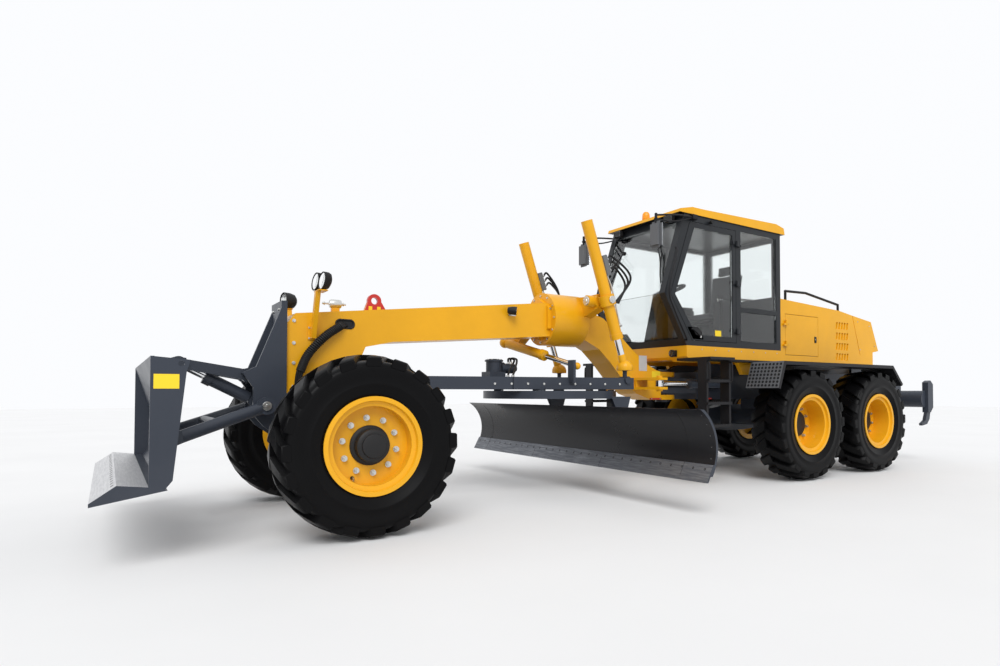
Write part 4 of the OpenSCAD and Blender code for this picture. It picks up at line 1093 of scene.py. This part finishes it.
class GRADER_OT_hoses(bpy.types.Operator):
    """Adds the hydraulic hoses with their wraps and valve blocks"""

    bl_idname = "grader.hoses"
    bl_label = "Hoses"

    def execute(self, context):
        radius = context.scene.grader_fittings.hose_radius
        form = Form()
        path = ((-104, 168, 1686), (-50, 205, 1660), (90, 228, 1555))
        path += ((225, 238, 1400), (290, 240, 1250), (300, 190, 1080))
        path = [at(*point) for point in path]
        for shift in (-0.015, 0.0, 0.015):
            form.tube([p + Vector((shift, 0, shift * 0.7)) for p in path], radius * 1.1, "hose_rubber")
        wrap = ((0.034, -0.007), (0.038, -0.003), (0.038, 0.003), (0.034, 0.007))
        line = smooth_line(path[1:5], 11)
        for point, ahead in zip(line, line[1:]):
            form.turned(wrap, point, ahead - point, "black_plastic", sides=18)
        form.piece("axle_hoses", "front", "black_paint")
        ports = (0.30, 0.36, 0.42)
        form = Form()
        for side in (1, -1):
            beside = partial(self.beside, side)
            block, half = beside(0.36, 0.085), Vector((0.035, 0.045, 0.11))
            form.block(block - half, block + half, "cast_grey", 0.006, turn_to(lift_axis()))
            for h in ports:
                form.rod(beside(h, 0.11), beside(h, 0.15), 0.016, "zinc", sides=6)
            form.rod(beside(-0.30, 0.055), beside(-0.30, 0.10), 0.020, "zinc", sides=6)
            pipe = [beside(0.26, 0.085), beside(0.10, 0.105), beside(-0.22, 0.09), beside(-0.30, 0.085)]
            form.tube(pipe, 0.008, "zinc")
            for k, h in enumerate(ports):
                bulge = beside(0.10 + 0.03 * k, 0.30 + 0.025 * k, 0.03 * k)
                end = beside(-0.06, 0.10 + 0.02 * k, 0.05 - 0.05 * k)
                form.tube([beside(h, 0.15), beside(h + 0.01, 0.22), bulge, end], radius, "hose_rubber")
        form.piece("lift_hoses", "lift_barrels", "black_paint")
        return {"FINISHED"}

    def beside(self, side, height, depth, shift=0.0):
        """A point by a lift cylinder: how far above its yoke, how far behind it and how far out."""
        up = lift_axis()
        back = Vector((-up.z, 0, up.x))
        yoke = at(LIFT_TOP[0], side * LIFT_Y, LIFT_TOP[1])
        return yoke + up * height + back * depth + Vector((0, side * shift, 0))


class GRADER_OT_blade_trim(bpy.types.Operator):
    """Adds the bolts and joints of the cutting edges"""

    bl_idname = "grader.blade_trim"
    bl_label = "Blade Trim"

    def execute(self, context):
        edge_top = 0.405
        accent("moldboard", "blade_black", lambda c, n: n.x > 0.1 and c.z >= edge_top)
        accent("moldboard", "edge_steel", lambda c, n: n.x > 0.1 and c.z < edge_top)
        accent("dozer_blade", "bright_edge", lambda c, n: c.z < 0.535 and c.x > 5.05 and abs(n.y) < 0.5)
        form = Form()
        for i in range(31):
            self.flush_bolt(form, "moldboard", at(-1000, -2060 + 137.3 * i, 410), 0.012)
        for y in (-2085, 2085):
            for z in (500, 600, 700, 800, 880):
                self.flush_bolt(form, "moldboard", at(-1000, y, z), 0.011)
        end_joint, edge_joint = range(330, 921, 30), range(306, 400, 18)
        for y, heights in ((-1800, end_joint), (1800, end_joint), (-640, edge_joint), (640, edge_joint)):
            seam = [land("moldboard", at(-1000, y, z), (-1, 0, 0))[0] for z in heights]
            form.tube(seam, 0.0016, "black_trim", sides=6, rounds=2)
        form.piece("moldboard_bolts", "moldboard", "black_paint")
        form = Form()
        for i in range(19):
            self.flush_bolt(form, "dozer_blade", at(3000, -1170 + 130 * i, 515), 0.011)
        form.piece("dozer_bolts", "dozer_blade", "black_paint")
        return {"FINISHED"}

    def flush_bolt(self, form, node, point, radius):
        """A bolt's flat head with its square neck, level with the blade."""
        place, normal = land(node, point, (-1, 0, 0))
        form.rod(place - normal * 0.003, place + normal * 0.0012, radius, "black_trim", bevel=0.0006)
        form.rod(place, place + normal * 0.0018, radius * 0.5, "cast_grey", sides=4)


class GRADER_OT_circle_drive(bpy.types.Operator):
    """Adds the motor, bolts and hoses of the circle's drive"""

    bl_idname = "grader.circle_drive"
    bl_label = "Circle Drive"

    def execute(self, context):
        form = Form()
        top, normal = land("drawbar", at(-1743, -60, 1700), -UP)
        lid = ((0.098, -0.016), (0.098, -0.002), (0.092, 0.004), (0.060, 0.004), (0.056, 0.012), (0.0, 0.013))
        form.turned(lid, top, normal, "slate_paint", sides=36)
        for a in turns(8):
            spoke = Vector((math.cos(a), math.sin(a), 0)) * 0.078
            form.bolt(top + spoke + normal * 0.004, normal, 0.009, "zinc")
        back = Vector((-1, 0, 0))
        face = top + back * 0.070 - UP * 0.085
        motor = ((0.066, 0.0), (0.066, 0.040), (0.054, 0.046), (0.054, 0.170))
        motor += ((0.049, 0.178), (0.034, 0.180), (0.030, 0.200), (0.0, 0.202))
        form.turned(motor, face, back, "slate_paint", sides=36)
        for a in turns(4, 0.5):
            spoke = Vector((0, math.cos(a), math.sin(a))) * 0.059
            form.bolt(face + back * 0.040 + spoke, back, 0.007, "zinc")
        for side in (1, -1):
            port = face + back * 0.12 + Vector((0, 0.026 * side, 0.046))
            form.rod(port, port + UP * 0.026, 0.014, "zinc", sides=6)
            end, normal = land("drawbar", at(-1760, 250 + 50 * side, 1600), -UP)
            path = [port + UP * 0.02, port + Vector((0, 0.01, 0.06)), port + Vector((-0.01, 0.11, 0.04))]
            form.tube(path + [end + Vector((-0.05, -0.05, 0.07)), end + UP * 0.01], 0.011, "hose_rubber")
            form.rod(end - normal * 0.002, end + normal * 0.02, 0.016, "zinc", sides=6)
        form.piece("circle_motor", "drawbar", "slate_paint")
        return {"FINISHED"}


class GRADER_OT_pin_caps(bpy.types.Operator):
    """Adds caps, sleeves and keeper bolts to the linkage pins"""

    bl_idname = "grader.pin_caps"
    bl_label = "Pin Caps"

    def execute(self, context):
        accent("lift_rods", "yellow_paint", lambda c, n: c.z < 1.435)
        accent("shift_rod", "yellow_paint", lambda c, n: (c - at(-2390, 550, 1353)).length < 0.045)
        form = Form()
        for side in (1, -1):
            self.cap(form, at(-2580, side * 465, LIFT_TOP[1]), (1, 0, 0), 0.052)
        for a in turns(12):
            form.bolt(at(-2300, 258 * math.cos(a), 1885 + 258 * math.sin(a)), (1, 0, 0), 0.013, "zinc")
        for z in (1700, 1985):
            place, normal = land("lift_saddle", at(-2290, 485, z), (0, -1, 0))
            form.bolt(place, normal, 0.012, "zinc")
        form.piece("saddle_caps", "front", "chrome_rod")
        form = Form()
        for side in (1, -1):
            self.cap(form, at(LIFT_TOP[0], side * 704, LIFT_TOP[1]), (0, side, 0), 0.040)
        form.piece("yoke_caps", "lift_barrels", "chrome_rod")
        form = Form()
        sleeve = ((0.0375, 0.060), (0.046, 0.064), (0.044, 0.150), (0.0405, 0.156), (0.0375, 0.156))
        for side in (1, -1):
            eye = at(LIFT_EYE[0], side * LIFT_Y, LIFT_EYE[1])
            form.turned(sleeve, eye, lift_axis(), "yellow_paint", closed=True)
        form.piece("lift_sleeves", "lift_rods", "yellow_paint")
        form = Form()
        for side in (1, -1):
            self.cap(form, at(560, side * 335, 970), (0, side, 0), 0.036)
            for y, z in ((150, 760), (150, 900), (120, 1400), (120, 1600), (120, 1780)):
                form.bolt(at(430, side * y, z), (1, 0, 0), 0.015, "zinc")
        form.piece("mount_caps", "front", "chrome_rod")
        form = Form()
        for side in (1, -1):
            place, _ = land("dozer_blade", at(1315, side * 1500, 1150), (0, -side, 0))
            low, high = place - Vector((0.068, 0, 0.045)), place + Vector((0.068, side * 0.0012, 0.045))
            form.block(low, high, "sticker_yellow", 0.0004)
        form.piece("dozer_signs", "dozer_blade", "yellow_paint")
        form = Form()
        for side in (1, -1):
            for x in range(-2880, -1500, 170):
                place, normal = land("drawbar", at(x, side * 1500, 1165), (0, -side, 0))
                if abs(place.y) > 0.2:
                    form.bolt(place, normal, 0.012, "zinc")
        form.piece("drawbar_bolts", "drawbar", "chrome_rod")
        return {"FINISHED"}

    def cap(self, form, point, axis, radius):
        """A turned cap with three small bolts."""
        steps = ((1, 0), (1, 0.008), (0.92, 0.012), (0.45, 0.012), (0.4, 0.016), (0, 0.017))
        form.turned([(radius * r, h) for r, h in steps], point, axis, "zinc", sides=28)
        axis = Vector(axis)
        across = axis.orthogonal().normalized()
        for a in turns(3):
            spoke = Matrix.Rotation(a, 3, axis) @ across
            form.bolt(point + spoke * radius * 0.68 + axis * 0.012, axis, radius * 0.13, "zinc")


class GRADER_OT_step_trim(bpy.types.Operator):
    """Adds tread bars, handles and grip plates to the ladders and fenders"""

    bl_idname = "grader.step_trim"
    bl_label = "Step Trim"

    def execute(self, context):
        accent("fenders", "mid_grey", lambda c, n: n.x > 0.7 and c.z > 1.1)
        form = Form()
        for side in (1, -1):
            for z in (720, 970, 1220):
                for i in range(7):
                    x = -3800 - 48 * i
                    low, high = at(x, side * 945, z - 2), at(x - 24, side * 1105, z + 4)
                    form.block(low, high, "black_plastic", 0.002)
            for x in (-3775, -4145):
                handle = [at(x, side * 1090, 1200), at(x, side * 1118, 1230), at(x, side * 1118, 1390)]
                form.tube(handle + [at(x, side * 1090, 1420)], 0.011, "black_trim")
            for i in range(7):
                for j in range(9):
                    point = at(-4500, side * (862 + 50.5 * j), 1160 + 42 * i)
                    place, normal = land("fenders", point, (-1, 0, 0))
                    foot, top = place - normal * 0.002, place + normal * 0.004
                    form.rod(foot, top, 0.016, "black_trim", sides=12, bevel=0.001)
        form.piece("step_treads", "rear", "black_paint")
        for name, body, near, far, y in (
            ("lock_bar_front", "front", -3770, -3960, BEAM_SIDE),
            ("lock_bar_rear", "rear", -4510, -4690, 330),
        ):
            form = Form()
            form.block(at(near, y - 2, 988), at(far, y + 12, 1008), "red_paint", 0.003)
            for x in (near - 24, far + 24):
                form.bolt(at(x, y + 12, 998), (0, 1, 0), 0.007, "zinc")
            form.piece(name, body, "black_paint")
        return {"FINISHED"}


class GRADER_PT_panel(bpy.types.Panel):
    """Lists the steps and the values that a user may change"""

    bl_idname = "GRADER_PT_panel"
    bl_label = "Motor Grader"
    bl_space_type = "VIEW_3D"
    bl_region_type = "UI"
    bl_category = "Grader"

    def draw(self, context):
        for group in (context.scene.grader_paints, context.scene.grader_stage, context.scene.grader_fittings):
            box = self.layout.box()
            for key in group.__annotations__:
                box.prop(group, key)
        for step in STEPS:
            self.layout.operator(step.bl_idname)


STEPS = (
    GRADER_OT_stage,
    GRADER_OT_paint,
    GRADER_OT_tyres,
    GRADER_OT_wheel_fittings,
    GRADER_OT_front_lamps,
    GRADER_OT_cab_lamps,
    GRADER_OT_mirrors,
    GRADER_OT_cab_inside,
    GRADER_OT_cab_trim,
    GRADER_OT_hood_trim,
    GRADER_OT_beam_trim,
    GRADER_OT_hoses,
    GRADER_OT_blade_trim,
    GRADER_OT_circle_drive,
    GRADER_OT_pin_caps,
    GRADER_OT_step_trim,
)
CLASSES = (GraderPaints, GraderStage, GraderFittings) + STEPS + (GRADER_PT_panel,)


def register():
    """Registers the classes and their settings on the scene."""
    for cls in CLASSES:
        bpy.utils.register_class(cls)
    bpy.types.Scene.grader_paints = PointerProperty(type=GraderPaints)
    bpy.types.Scene.grader_stage = PointerProperty(type=GraderStage)
    bpy.types.Scene.grader_fittings = PointerProperty(type=GraderFittings)


def unregister():
    """Takes the settings and the classes away again."""
    del bpy.types.Scene.grader_fittings
    del bpy.types.Scene.grader_stage
    del bpy.types.Scene.grader_paints
    for cls in reversed(CLASSES):
        bpy.utils.unregister_class(cls)


def main():
    """Runs every step in order."""
    register()
    for step in STEPS:
        group, name = step.bl_idname.split(".")
        getattr(getattr(bpy.ops, group), name)()


if __name__ == "__main__":
    main()
